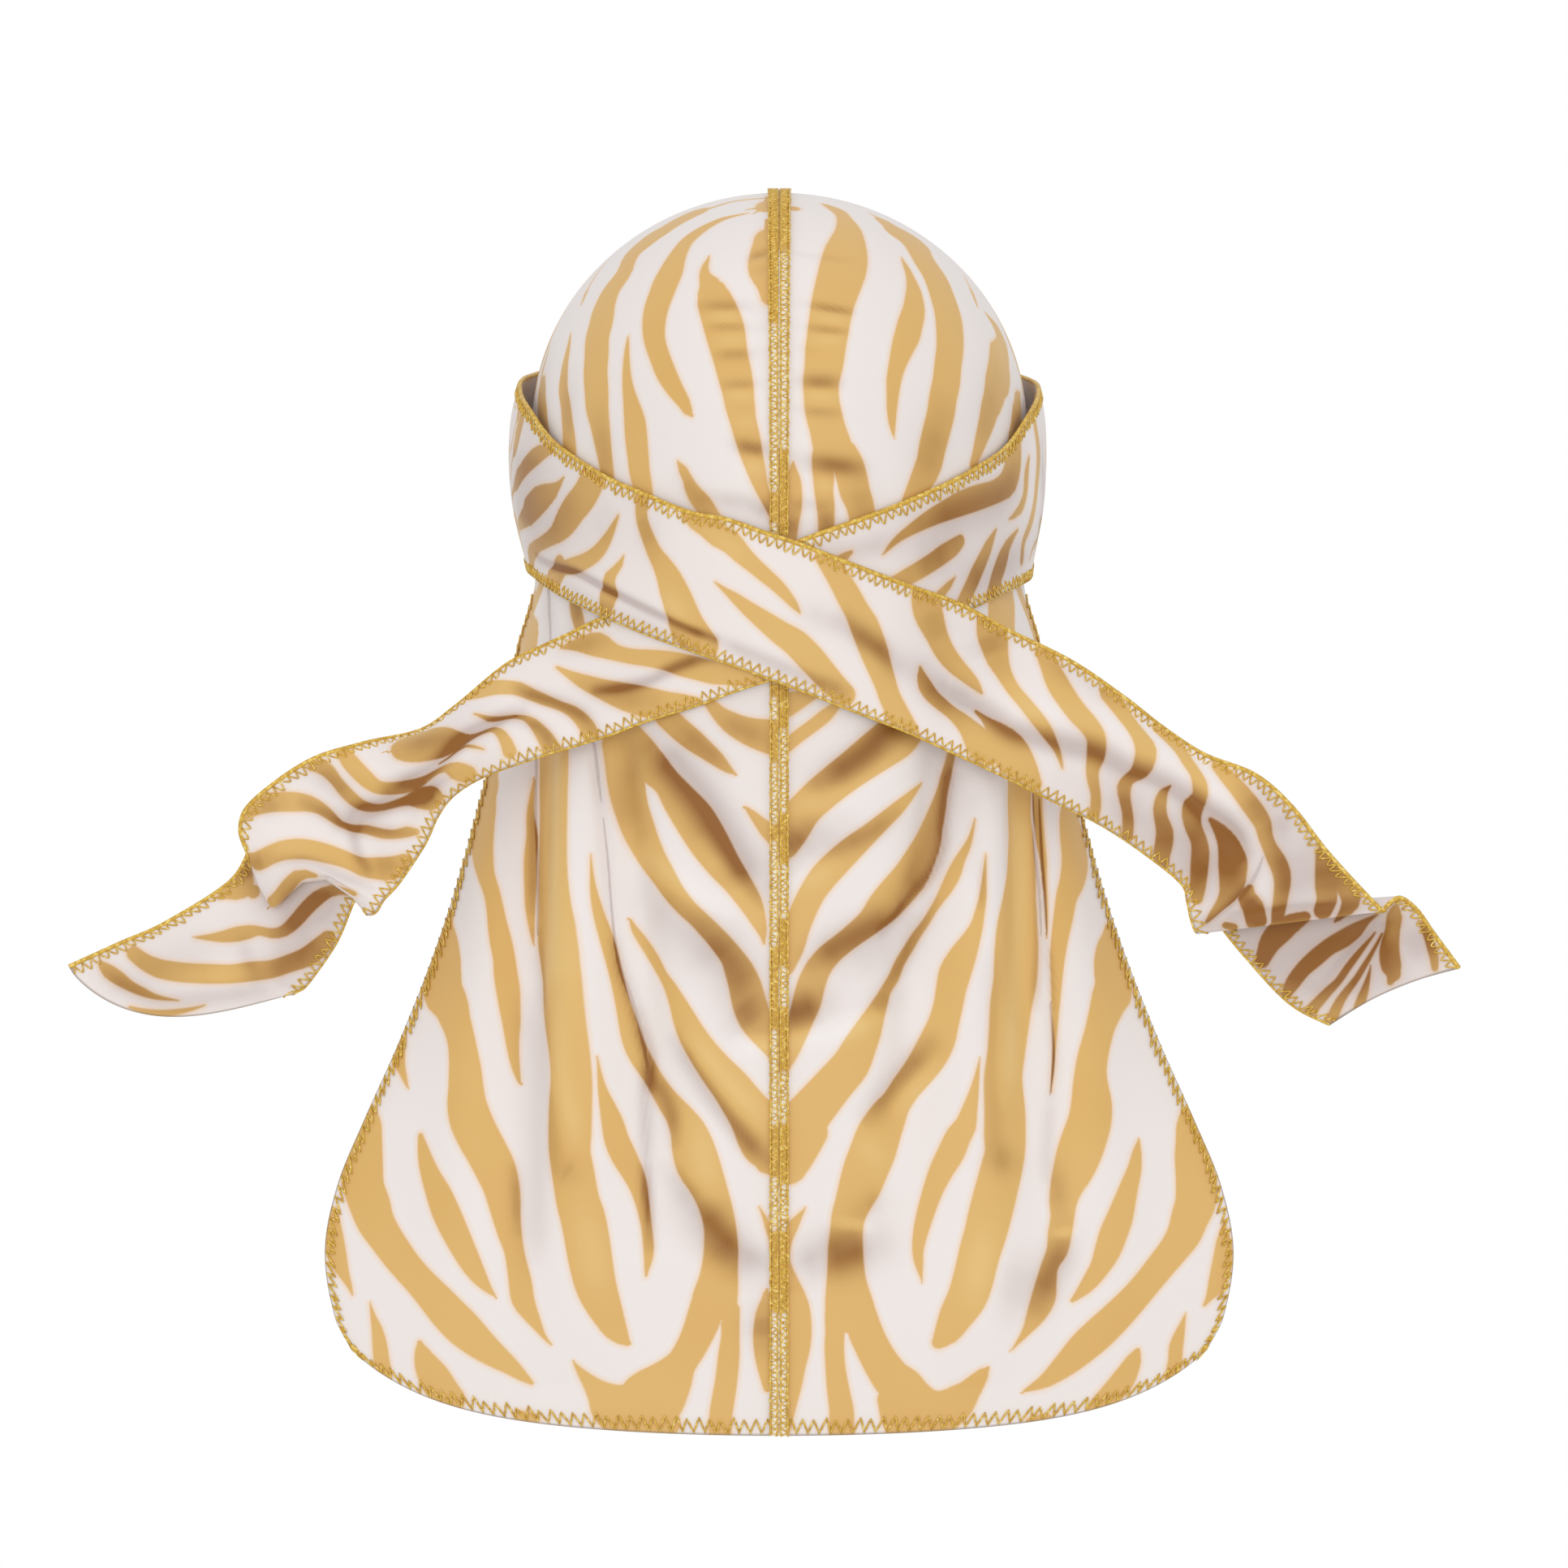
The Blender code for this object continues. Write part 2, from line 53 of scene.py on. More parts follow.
# the camera, and how a pixel of the photograph becomes a ray
photo = {"side": 1932, "focal": 6805.0, "eye": (1.5, -1800.0, -116.0), "film": 36.0}


def makeCamera():
    data = bpy.data.cameras.new("photoCamera")
    data.sensor_width = photo["film"]
    data.lens = photo["focal"] / photo["side"] * photo["film"]
    camera = addObject("photoCamera", data)
    camera.location = Vector(photo["eye"]) * mm
    camera.rotation_euler = (math.radians(90), 0, 0)
    bpy.context.scene.camera = camera


def photoRay(x, y):
    half = photo["side"] / 2
    return Vector(((x - half) / photo["focal"], 1.0, (half - y) / photo["focal"]))


makeCamera()
print("camera set")

# the worn form, as in the part's source
crown = {"halfWidth": 80.5, "halfLength": 98.0, "height": 76.0, "frontAngle": -6.0, "napeAngle": -34.0,
         "templeTurn": 72.0, "templeAngle": -10.0}
cape = {"hem": -315.5, "hemCorner": -291.0, "hemBow": 9.0, "hemCornerRound": 15.5}
cape["nape"] = crown["height"] * math.tan(math.radians(crown["napeAngle"]))
# the ridge's size, where its low front stretch ends, which stretches of it show stitches, how high on it the
# threads sit, and over how many pixels its print fades
seamSize = {"halfWidth": 3.5, "gap": 0.3, "proud": 1.2, "lowProud": 0.1, "lowLength": 44.0,
            "riseLength": 14.0, "shownFrom": 43.0, "tieTop": -40.0, "tieLow": -82.5, "threadSeat": 0.95,
            "printFade": 6.0}
seamFoot = seamSize["halfWidth"] + seamSize["gap"]
clothThickness = 1.0

FormRow = namedtuple("FormRow", "height across back capeHalf")
formRows = [FormRow(*row) for row in (
    (0, 80.5, 98, 78),
    (-25, 80.2, 97.6, 78),
    (-51, 79.8, 96.4, 79),
    (-72, 85.8, 94.8, 84.4),
    (-114, 99, 94.5, 92.7),
    (-145, 115, 96, 101),
    (-173, 135, 98, 110.2),
    (-199, 162, 100, 120.2),
    (-221, 191, 102, 129.7),
    (-241, 218, 104, 137.6),
    (-261, 236, 106, 141.1),
    (-281, 245, 107.8, 137.7),
    (-291, 248, 108.5, 132.4),
    (-316, 250, 110, 120),
)]
FoldRow = namedtuple("FoldRow", "topX topZ lowX lowZ depth topSpread lowSpread")
capeFolds = [FoldRow(*row) for row in (
    (8, -84, 12, -170, -2.5, 9, 16),
    (53, -88, 35, -262, -6, 6, 12),
    (65, -96, 61, -300, 5, 8, 15),
    (75, -84, 80, -262, -5, 5, 11),
    (86, -92, 104, -300, 3, 7, 14),
    (6, -272, 46, -232, -2, 7, 9),
)]


def mix(start, end, share):
    return start + (end - start) * share


def formValue(height, column):
    last = len(formRows) - 1
    index = 0
    while index < last - 1 and formRows[index + 1].height > height:
        index += 1
    upper, lower = formRows[index], formRows[index + 1]
    share = min(max((upper.height - height) / (upper.height - lower.height), 0.0), 1.0)
    slopes = []
    for k in (index, index + 1):
        a, b = formRows[max(k - 1, 0)], formRows[min(k + 1, last)]
        slopes.append((getattr(b, column) - getattr(a, column)) / (a.height - b.height))
    step = upper.height - lower.height
    square, cube = share ** 2, share ** 3
    return (getattr(upper, column) * (2 * cube - 3 * square + 1)
            + slopes[0] * step * (cube - 2 * square + share)
            + getattr(lower, column) * (3 * square - 2 * cube) + slopes[1] * step * (cube - square))


def halfAxes(height):
    if height > 0:
        level = math.sqrt(max(1.0 - (height / crown["height"]) ** 2, 0.0))
        return crown["halfWidth"] * level, crown["halfLength"] * level
    return formValue(height, "across"), formValue(height, "back")


def foldLift(x, height):
    total = 0.0
    for fold in capeFolds:
        share = (height - fold.topZ) / (fold.lowZ - fold.topZ)
        if 0.0 < share < 1.0:
            fade = math.sin(math.pi * share ** 0.7) ** 0.8
            spread = mix(fold.topSpread, fold.lowSpread, share)
            total += fold.depth * fade * math.exp(
                -(((abs(x) - mix(fold.topX, fold.lowX, share)) / spread) ** 2))
    return total


def formPoint(turn, height):
    across, back = halfAxes(height)
    angle = math.radians(turn)
    x = math.sin(angle) * across
    lift = foldLift(x, height) if math.cos(angle) < 0.0 else 0.0
    return Vector((x + math.sin(angle) * lift, math.cos(angle) * (back + lift), height))


def crownDirection(turn, angle):
    rise, side = math.radians(angle), math.radians(turn)
    return Vector((math.sin(side) * math.cos(rise), math.cos(side) * math.cos(rise), math.sin(rise)))


def crownPlace(direction):
    rise = math.asin(max(-1.0, min(1.0, direction.z)))
    height = crown["height"] * (math.sin(rise) if rise > 0.0 else math.tan(rise))
    return math.degrees(math.atan2(direction.x, direction.y)), height


def crownRow(share, inset):
    front = crown["frontAngle"]
    along = math.radians(front + (180.0 - crown["napeAngle"] - front) * share)
    seam = Vector((inset / crown["halfWidth"], math.cos(along), math.sin(along))).normalized()
    turn = mix(crown["templeTurn"], edgeTurn(cape["nape"]), share)
    return seam, crownDirection(turn, mix(crown["templeAngle"], crown["napeAngle"], share))


def edgeTurn(height):
    return 180.0 - math.degrees(math.asin(formValue(height, "capeHalf") / halfAxes(height)[0]))


def seamTurn(height):
    return 180.0 - math.degrees(math.asin(seamFoot / halfAxes(height)[0]))


def crownSpot(share, column):
    seam, outer = crownRow(share, seamFoot)
    return crownPlace(seam.slerp(outer, column))


def capeSpot(share, column):
    napeTurn, napeHeight = crownSpot(1.0, column)
    firstTurn, lastTurn = seamTurn(cape["nape"]), edgeTurn(cape["nape"])
    spread = (firstTurn - napeTurn) / (firstTurn - lastTurn)
    hemTurn = mix(seamTurn(cape["hem"]), edgeTurn(cape["hemCorner"]), spread)
    reach = math.sin(math.radians(hemTurn)) / math.sin(math.radians(edgeTurn(cape["hemCorner"])))
    hem = cape["hem"] + cape["hemBow"] * reach ** 2 + cape["hemCornerRound"] * reach ** 6
    height = mix(napeHeight, hem, share)
    edgeHeight = mix(cape["nape"], cape["hemCorner"], share)
    return mix(seamTurn(height), edgeTurn(edgeHeight), spread), height


# cloth made from grids of points
farAway = 9.0
sharpAngle = {"cloth": 55, "seam": 60}


def unit(vectors):
    return vectors / np.maximum(np.linalg.norm(vectors, axis=-1, keepdims=True), 1e-9)


def gridNormals(grid, outward):
    along, across = np.gradient(grid, axis=0), np.gradient(grid, axis=1)
    return unit(np.cross(across, along) * outward)


def gridFaces(rows, columns):
    index = np.arange(rows * columns).reshape(rows, columns)
    return index, np.stack([index[:-1, :-1], index[:-1, 1:], index[1:, 1:], index[1:, :-1]],
                           axis=-1).reshape(-1, 4)


def sheetMesh(name, front, rear, materials, canvas):
    # a closed sheet between two grids: the face is slot 0, the back of the cloth slot 1
    index, quads = gridFaces(*front.shape[:2])
    count = index.size
    ring = np.concatenate([index[0, :-1], index[:-1, -1], index[-1, :0:-1], index[:0:-1, 0]])
    following = np.roll(ring, -1)
    rim = np.stack([following, ring, ring + count, following + count], axis=-1)
    faces = np.concatenate([quads, quads[:, ::-1] + count, rim])
    points = np.concatenate([front.reshape(-1, 3), rear.reshape(-1, 3)]) * mm
    data = bpy.data.meshes.new(name)
    data.from_pydata(points.tolist(), [], faces.tolist())
    slots = np.zeros(len(faces), dtype=np.int32)
    slots[len(quads):2 * len(quads)] = 1
    data.polygons.foreach_set("material_index", slots)
    # shade is the painted shade of the strokes, a painted highlight where negative
    for key in ("shade", "rim"):
        layer = data.attributes.new(key, "FLOAT", "POINT")
        layer.data.foreach_set("value", np.tile(canvas[key].reshape(-1), 2).astype(np.float32))
    for k, letter in enumerate("ABC"):
        for key, away in (("offset", farAway), ("half", 1.0)):
            values = np.full(faces.shape, away)
            values[:len(quads)] = canvas[key][k]
            if key == "offset" and k < 2:
                values[2 * len(quads):] = 1.0 + np.tile(canvas["stripe"], 2)[rim]
            layer = data.attributes.new(key + letter, "FLOAT", "CORNER")
            layer.data.foreach_set("value", values.reshape(-1).astype(np.float32))
    shape = bmesh.new()
    shape.from_mesh(data)
    bmesh.ops.recalc_face_normals(shape, faces=shape.faces)
    shape.to_mesh(data)
    shape.free()
    data.shade_smooth()
    data.set_sharp_from_angle(angle=math.radians(sharpAngle["cloth"]))
    for material in materials:
        data.materials.append(material)
    return addObject(name, data)


# strokes drawn on the photograph and cast onto the cloth, in millimetres there
strokeLook = {"sampleStep": 8.0, "leastWidth": 0.5, "edgeLimit": 5.0, "bleedReach": 3.0, "unprinted": 99.0}
# a crease and its painted shade spread by this much of its width, and weaken over its last samples
creaseAndShadeLook = {"spread": 1.15, "leastSpread": 0.8, "reach": 2.6, "endStrength": 0.5, "endSamples": 3.0,
              "endShare": 0.3}


def newCanvas(grid, outward):
    # what strokes are drawn on: stripe is each point's distance to the nearest print edge; offset and half
    # tell the corners of a face how far across its two nearest stripes and its nearest thin fold line of
    # painted shade they lie, so that hair-thin tips, gaps and fold lines stay whole; relief is real depth,
    # and shade is painted shade
    index, quads = gridFaces(*grid.shape[:2])
    return {"points": grid.reshape(-1, 3), "normals": gridNormals(grid, outward).reshape(-1, 3),
            "quads": quads, "stripe": np.full(index.size, strokeLook["bleedReach"]),
            "score": np.full((3, len(quads)), strokeLook["bleedReach"]),
            "offset": np.full((3, *quads.shape), farAway), "half": np.ones((3, *quads.shape)),
            "relief": np.zeros(index.size), "shade": np.zeros(index.size)}


def smoothStroke(stroke):
    # a flat run of x, y, width becomes closely spaced samples on a smooth curve
    keys = np.array(stroke, dtype=float).reshape(-1, 3)
    if len(keys) == 1:
        keys = np.vstack([keys, keys + (0.0, 1.0, 0.0)])
    ends = np.vstack([2 * keys[0] - keys[1], keys, 2 * keys[-1] - keys[-2]])
    samples = []
    for a, b, c, d in zip(ends, ends[1:], ends[2:], ends[3:]):
        count = max(1, round(np.hypot(*(c - b)[:2]) / strokeLook["sampleStep"]))
        for k in range(count):
            t = k / count
            samples.append(0.5 * (2 * b + (c - a) * t + (2 * a - 5 * b + 4 * c - d) * t ** 2
                                  + (3 * b - a - 3 * c + d) * t ** 3))
    samples.append(keys[-1])
    return np.array(samples)


def castStroke(stroke, tree):
    # the middle and both edges of each sample follow their rays to the cloth, so that a stroke seen aslant
    # gets its full width there; a sample that misses takes the depth of its nearest neighbour that hits
    eye = Vector(photo["eye"])
    samples = smoothStroke(stroke)
    samples[:, 2] = samples[:, 2].clip(strokeLook["leastWidth"])
    runs = unit(np.gradient(samples[:, :2], axis=0))
    casts = [[tree.ray_cast(eye, photoRay(x - run[1] * k, y + run[0] * k).normalized())[0]
              for k in (0.0, -width / 2, width / 2)] for (x, y, width), run in zip(samples, runs)]
    found = [k for k, cast in enumerate(casts) if cast[0] is not None]
    if not found:
        return None
    places, plains, reaches = [], [], []
    for k, (middle, *edges) in enumerate(casts):
        if middle is None:
            nearest = min(found, key=lambda j: abs(j - k))
            middle = eye + photoRay(*samples[k, :2]) * (casts[nearest][0].y - eye.y)
        plain = samples[k][2] / 2 * (middle.y - eye.y) / photo["focal"]
        near = [edge for edge in edges
                if edge is not None and (edge - middle).length < strokeLook["edgeLimit"] * plain]
        if len(near) == 2:
            middle = (near[0] + near[1]) / 2
        places.append(tuple(middle))
        plains.append(plain)
        reaches.append(tuple(near[0] - middle) if near else (0.0, 0.0, 0.0))
    places, reaches = np.array(places), np.array(reaches)
    along = unit(np.gradient(places, axis=0))
    across = np.linalg.norm(reaches - (reaches * along).sum(axis=1)[:, None] * along, axis=1)
    return places, np.where(across > 0.0, across, plains)


def alongStroke(canvas, allowed, path, halves, margin):
    # for the points near a stroke: which they are, how far across it they lie (the sign tells the side), its
    # half width there, how far along it in samples, and whether they lie past its end
    reach = halves.max() + margin
    points = canvas["points"]
    near = np.where(allowed & np.all(
        (points > path.min(axis=0) - reach) & (points < path.max(axis=0) + reach), axis=1))[0]
    spots, facing = points[near], canvas["normals"][near]
    best = np.full(len(near), 1e6)
    across, width, place = np.zeros((3, len(near)))
    ended = np.zeros(len(near), dtype=bool)
    for k, (a, b, u, v) in enumerate(zip(path, path[1:], halves, halves[1:])):
        run = b - a
        share = np.clip((spots - a) @ run / max(run @ run, 1e-9), 0.0, 1.0)
        away = spots - a - share[:, None] * run
        distance, half = np.linalg.norm(away, axis=1), u + (v - u) * share
        closer = distance - half < best
        best = np.where(closer, distance - half, best)
        side = np.where((away * np.cross(run, facing)).sum(axis=1) < 0, -1.0, 1.0)
        across[closer], width[closer], place[closer] = (
            (side * distance)[closer], half[closer], k + share[closer])
        past = ((share <= 0.0) & (k == 0)) | ((share >= 1.0) & (k == len(path) - 2))
        ended[closer] = past[closer]
    return near, across, width, place, ended


# a fold stroke goes into the third slot, which the material paints as a hair-thin line of shade
def printStroke(canvas, allowed, path, halves, fold=False):
    near, across, width, _, ended = alongStroke(canvas, allowed, path, halves, strokeLook["bleedReach"])
    count = len(canvas["points"])
    offset, half, gap = np.full(count, farAway), np.ones(count), np.full(count, strokeLook["unprinted"])
    offset[near], half[near], gap[near] = across, width, np.abs(across) - width
    beyond = np.ones(count, dtype=bool)
    beyond[near] = ended
    quads = canvas["quads"]
    scores = gap[quads].mean(axis=1)
    offset = np.where(beyond[quads].all(axis=1)[:, None], np.abs(offset[quads]), offset[quads])
    first, second, third = (scores < held for held in canvas["score"])
    if not fold:
        canvas["stripe"] = np.minimum(canvas["stripe"], gap)
    for key, values in (("score", scores), ("offset", offset), ("half", half[quads])):
        held = canvas[key]
        if fold:
            held[2][third] = values[third]
            continue
        held[1][second] = values[second]
        held[1][first] = held[0][first]
        held[0][first] = values[first]


def treeOf(canvas, allowed):
    quads = canvas["quads"]
    return BVHTree.FromPolygons(canvas["points"].tolist(), quads[allowed[quads].all(axis=1)].tolist())


def drawStripes(canvas, allowed, strokes, mirrorAbove=None, fold=False):
    # a stroke that reaches above mirrorAbove is printed on the unseen front half too
    tree = treeOf(canvas, allowed)
    for stroke in strokes:
        cast = castStroke(stroke, tree)
        if cast is None:
            continue
        for flip in (1, -1) if mirrorAbove is not None and cast[0][:, 2].max() > mirrorAbove else (1,):
            printStroke(canvas, allowed, cast[0] * (1, flip, 1), cast[1], fold)


def drawCreasesAndShade(canvas, allowed, creasesAndShade):
    # each is its depth, its darkness and its stroke: the depth makes a soft groove, a ridge where negative,
    # and the darkness paints shade into the colour along it, a painted highlight where negative
    tree = treeOf(canvas, allowed)
    for depth, paintedDarkness, *stroke in creasesAndShade:
        cast = castStroke(stroke, tree)
        if cast is None:
            continue
        path, halves = cast
        spread = max(creaseAndShadeLook["spread"] * halves.mean(), creaseAndShadeLook["leastSpread"])
        near, across, _, place, _ = alongStroke(
            canvas, allowed, path, np.zeros(len(path)), creaseAndShadeLook["reach"] * spread)
        last = len(path) - 1
        ends = min(creaseAndShadeLook["endSamples"], creaseAndShadeLook["endShare"] * last)
        fade = np.clip(np.minimum(place, last - place) / ends, 0.0, 1.0)
        soft = np.exp(-(across / spread) ** 2) * mix(creaseAndShadeLook["endStrength"], 1.0, fade)
        canvas["relief"][near] -= depth * soft
        canvas["shade"][near] += paintedDarkness * soft


# colours and materials
# the two shade colours are painted shade for the print and for the pale ground, and tanLit and paleLit are
# painted highlights for fold crests
colours = {"satinPale": "#F1E9E6", "satinTan": "#DEAF66", "satinTanLit": "#E4BB73", "tiePale": "#F2E9E6",
           "tieTan": "#DEB066", "halo": "#F4D9BE", "printPaintedShade": "#864C02", "palePaintedShade": "#A48C86",
           "tanLit": "#F3D592", "paleLit": "#FCF8F6", "edgeDarkTone": "#8F7A68", "backDull": "#D8CCCC",
           "backPale": "#EBE1DF", "thread": "#EEC548", "threadPlyShade": "#C8992F", "threadPaintedGlint": "#FFF0A2",
           "seamDull": "#E2D4B8", "seamPale": "#F8F2EA", "seamTan": "#BE9142", "seamTanLit": "#E2B868",
           "floor": "#ECEBE8"}


def linear(hexColour):
    parts = [int(hexColour[k:k + 2], 16) / 255 for k in (1, 3, 5)]
    return tuple([c / 12.92 if c <= 0.04045 else ((c + 0.055) / 1.055) ** 2.4 for c in parts] + [1.0])


tones = {name: linear(hexColour) for name, hexColour in colours.items()}


def feedNode(tree, node, inputs):
    # an input takes a fixed value, the socket that feeds it, or a node, whose first output then feeds it
    for key, value in inputs.items():
        if isinstance(value, bpy.types.Node):
            value = value.outputs[0]
        if isinstance(value, bpy.types.NodeSocket):
            tree.links.new(value, node.inputs[key])
        else:
            node.inputs[key].default_value = value


def addNode(tree, kind, settings=None, inputs=None):
    node = tree.nodes.new(kind)
    for key, value in (settings or {}).items():
        setattr(node, key, value)
    feedNode(tree, node, inputs or {})
    return node


def newMaterial(name):
    material = bpy.data.materials.new(name)
    material.use_nodes = True
    return material, material.node_tree, material.node_tree.nodes["Principled BSDF"]


# a colour mix takes its share, first and second colour as inputs 0, 6 and 7, and gives its output 2
colourMix = ("ShaderNodeMix", {"data_type": "RGBA"})
softRange = ("ShaderNodeMapRange", {"interpolation_type": "SMOOTHSTEP"})

# print edges and their bleed in millimetres, how strongly the painted shade and painted highlights tell, then
# gloss and grain with sizes in metres
satinLook = {"inkFrom": 0.45, "inkTo": -0.35, "bleedFrom": 1.9, "bleedShare": 0.75, "foldTo": -0.4,
             "foldShade": 0.85, "shadeGain": 1.15, "shadeLimit": 0.9, "paleShare": 0.6, "rimFrom": 0.9,
             "rimTo": 0.1, "rimShare": 0.8, "patch": 0.045, "floats": 0.0014, "floatStretch": 0.12,
             "panelRoughness": 0.4, "tieRoughness": 0.42, "glossSpread": (-0.05, 0.07), "grain": 0.12,
             "relief": 0.0001, "specular": 0.32, "sheen": 0.12, "sheenRoughness": 0.4}


def printedSatin(name, pale, tan, roughness):
    # Polyester charmeuse with a printed stripe: pale lilac ground, tan print with a soft peach bleed at its
    # edge, a broad silky gloss, and a floating-thread grain that only just breaks it up. Shade in folds and
    # highlights on their crests are painted into the colour from the strokes.
    material, tree, shader = newMaterial(name)
    place = addNode(tree, "ShaderNodeTexCoord").outputs["Object"]
    drawn = {key: addNode(tree, "ShaderNodeAttribute", {"attribute_name": key}).outputs["Fac"]
             for key in ("offsetA", "halfA", "offsetB", "halfB", "offsetC", "halfC", "shade", "rim")}
    gaps = []
    for letter in "ABC":
        across = addNode(tree, "ShaderNodeMath", {"operation": "ABSOLUTE"}, {0: drawn["offset" + letter]})
        gaps.append(addNode(tree, "ShaderNodeMath", {"operation": "SUBTRACT"},
                            {0: across, 1: drawn["half" + letter]}))
    stripe = addNode(tree, "ShaderNodeMath", {"operation": "MINIMUM"}, {0: gaps[0], 1: gaps[1]})
    inked = addNode(tree, *softRange, {"Value": stripe, "From Min": satinLook["inkFrom"],
                                       "From Max": satinLook["inkTo"]})
    bleed = addNode(tree, *softRange, {"Value": stripe, "From Min": satinLook["bleedFrom"], "From Max": 0.0,
                                       "To Max": satinLook["bleedShare"]})
    # the hair-thin fold lines are painted shade
    fold = addNode(tree, *softRange, {"Value": gaps[2], "From Min": satinLook["inkFrom"],
                                      "From Max": satinLook["foldTo"], "To Max": satinLook["foldShade"]})
    shade = addNode(tree, "ShaderNodeMath", {"operation": "ADD"}, {0: drawn["shade"], 1: fold})
    patches = addNode(tree, "ShaderNodeTexNoise", {},
                      {"Vector": place, "Scale": 1 / satinLook["patch"], "Detail": 2.0})
    inkTone = addNode(tree, *colourMix, {0: patches, 6: tones[tan], 7: tones["satinTanLit"]}).outputs[2]
    ground = addNode(tree, *colourMix, {0: bleed, 6: tones[pale], 7: tones["halo"]}).outputs[2]
    face = addNode(tree, *colourMix, {0: inked, 6: ground, 7: inkTone}).outputs[2]
    # painted shade browns the print more than the ground, and negative shade, a painted highlight, lightens
    # both
    for gain, onPale, onPrint, share in (
            (satinLook["shadeGain"], "palePaintedShade", "printPaintedShade", satinLook["paleShare"]),
            (-1.0, "paleLit", "tanLit", 1.0)):
        strength = addNode(tree, "ShaderNodeMath", {"operation": "MULTIPLY"}, {0: shade, 1: gain})
        strength = addNode(tree, "ShaderNodeClamp", {}, {"Value": strength, "Max": satinLook["shadeLimit"]})
        taken = addNode(tree, "ShaderNodeMapRange", {}, {"Value": inked, "To Min": share, "To Max": 1.0})
        strength = addNode(tree, "ShaderNodeMath", {"operation": "MULTIPLY"}, {0: strength, 1: taken})
        shaded = addNode(tree, *colourMix, {0: inked, 6: tones[onPale], 7: tones[onPrint]}).outputs[2]
        face = addNode(tree, *colourMix, {0: strength, 6: face, 7: shaded}).outputs[2]
    # the colour darkens towards a greyish brown within rimFrom of a cut edge and on the sheet's edge faces
    edge = addNode(tree, "ShaderNodeMapRange", {},
                   {"Value": drawn["rim"], "From Min": satinLook["rimFrom"], "From Max": satinLook["rimTo"],
                    "To Max": satinLook["rimShare"]})
    # floating threads about 0.12 mm apart, drawn at 0.7 mm so that they show
    stretched = addNode(tree, "ShaderNodeMapping", {},
                        {"Vector": place, "Scale": (1.0, 1.0, satinLook["floatStretch"])})
    floats = addNode(tree, "ShaderNodeTexNoise", {},
                     {"Vector": stretched, "Scale": 1 / satinLook["floats"], "Detail": 3.0})
    smoother, rougher = satinLook["glossSpread"]
    gloss = addNode(tree, "ShaderNodeMapRange", {},
                    {"Value": floats, "To Min": roughness + smoother, "To Max": roughness + rougher})
    grain = addNode(tree, "ShaderNodeBump", {},
                    {"Height": floats, "Strength": satinLook["grain"], "Distance": satinLook["relief"]})
    face = addNode(tree, *colourMix, {0: edge, 6: face, 7: tones["edgeDarkTone"]}).outputs[2]
    feedNode(tree, shader, {"Base Color": face, "Roughness": gloss, "Normal": grain,
                            "Specular IOR Level": satinLook["specular"], "Sheen Weight": satinLook["sheen"],
                            "Sheen Roughness": satinLook["sheenRoughness"]})
    return material


backLook = {"slub": 0.006, "grain": 0.15, "relief": 0.0001, "roughness": 0.65, "sheen": 0.2}


def satinBack(name):
    # The dull back of the same cloth: the print hardly shows, so it is one greyish lilac with a faint 6 mm
    # slub.
    material, tree, shader = newMaterial(name)
    place = addNode(tree, "ShaderNodeTexCoord").outputs["Object"]
    slub = addNode(tree, "ShaderNodeTexNoise", {},
                   {"Vector": place, "Scale": 1 / backLook["slub"], "Detail": 4.0})
    tone = addNode(tree, *colourMix, {0: slub, 6: tones["backDull"], 7: tones["backPale"]}).outputs[2]
    grain = addNode(tree, "ShaderNodeBump", {},
                    {"Height": slub, "Strength": backLook["grain"], "Distance": backLook["relief"]})
    feedNode(tree, shader, {"Base Color": tone, "Roughness": backLook["roughness"],
                            "Sheen Weight": backLook["sheen"], "Normal": grain})
    return material


threadLook = {"plies": 0.0011, "plyShade": (0.35, 0.65), "plyGlint": (0.55, 0.72), "glintShare": 0.7, "twist": 0.5,
              "relief": 0.0002, "roughness": 0.38, "specular": 0.6}


def goldThread(name):
    # Lustrous rayon overlock thread: two plies twisted at about 0.8 mm. Along them brown flecks are partly
    # the plies' own tone and partly painted shade, and bright flecks are painted glints. They are drawn from
    # a 1.1 mm noise, so that they show.
    material, tree, shader = newMaterial(name)
    place = addNode(tree, "ShaderNodeTexCoord").outputs["Object"]
    plies = addNode(tree, "ShaderNodeTexNoise", {},
                    {"Vector": place, "Scale": 1 / threadLook["plies"], "Detail": 3.0})
    plyShade, plyGlint = (addNode(tree, "ShaderNodeMapRange", {},
                            {"Value": plies, "From Min": first, "From Max": last, "To Max": most})
                    for (first, last), most in ((threadLook["plyShade"], 1.0),
                                                (threadLook["plyGlint"], threadLook["glintShare"])))
    tone = addNode(tree, *colourMix, {0: plyShade, 6: tones["threadPlyShade"], 7: tones["thread"]}).outputs[2]
    tone = addNode(tree, *colourMix, {0: plyGlint, 6: tone, 7: tones["threadPaintedGlint"]}).outputs[2]
    twist = addNode(tree, "ShaderNodeBump", {},
                    {"Height": plies, "Strength": threadLook["twist"], "Distance": threadLook["relief"]})
    feedNode(tree, shader, {"Base Color": tone, "Roughness": threadLook["roughness"],
                            "Specular IOR Level": threadLook["specular"], "Normal": twist})
    return material


panelSatin = printedSatin("printed_charmeuse_panel", "satinPale", "satinTan", satinLook["panelRoughness"])
tieSatin = printedSatin("printed_charmeuse_tie", "tiePale", "tieTan", satinLook["tieRoughness"])
clothBack = satinBack("charmeuse_back")
goldStitch = goldThread("rayon_overlock_thread")
print("materials ready")

# the two panels: rows and columns of their grids, the step that fits them to the ridge's foot, and the height
# above which the print is repeated in front
panelLook = {"crownRows": 236, "capeRows": 218, "columns": 104, "footInset": 0.05, "footColumns": 15,
             "mirrorAbove": -20.0}

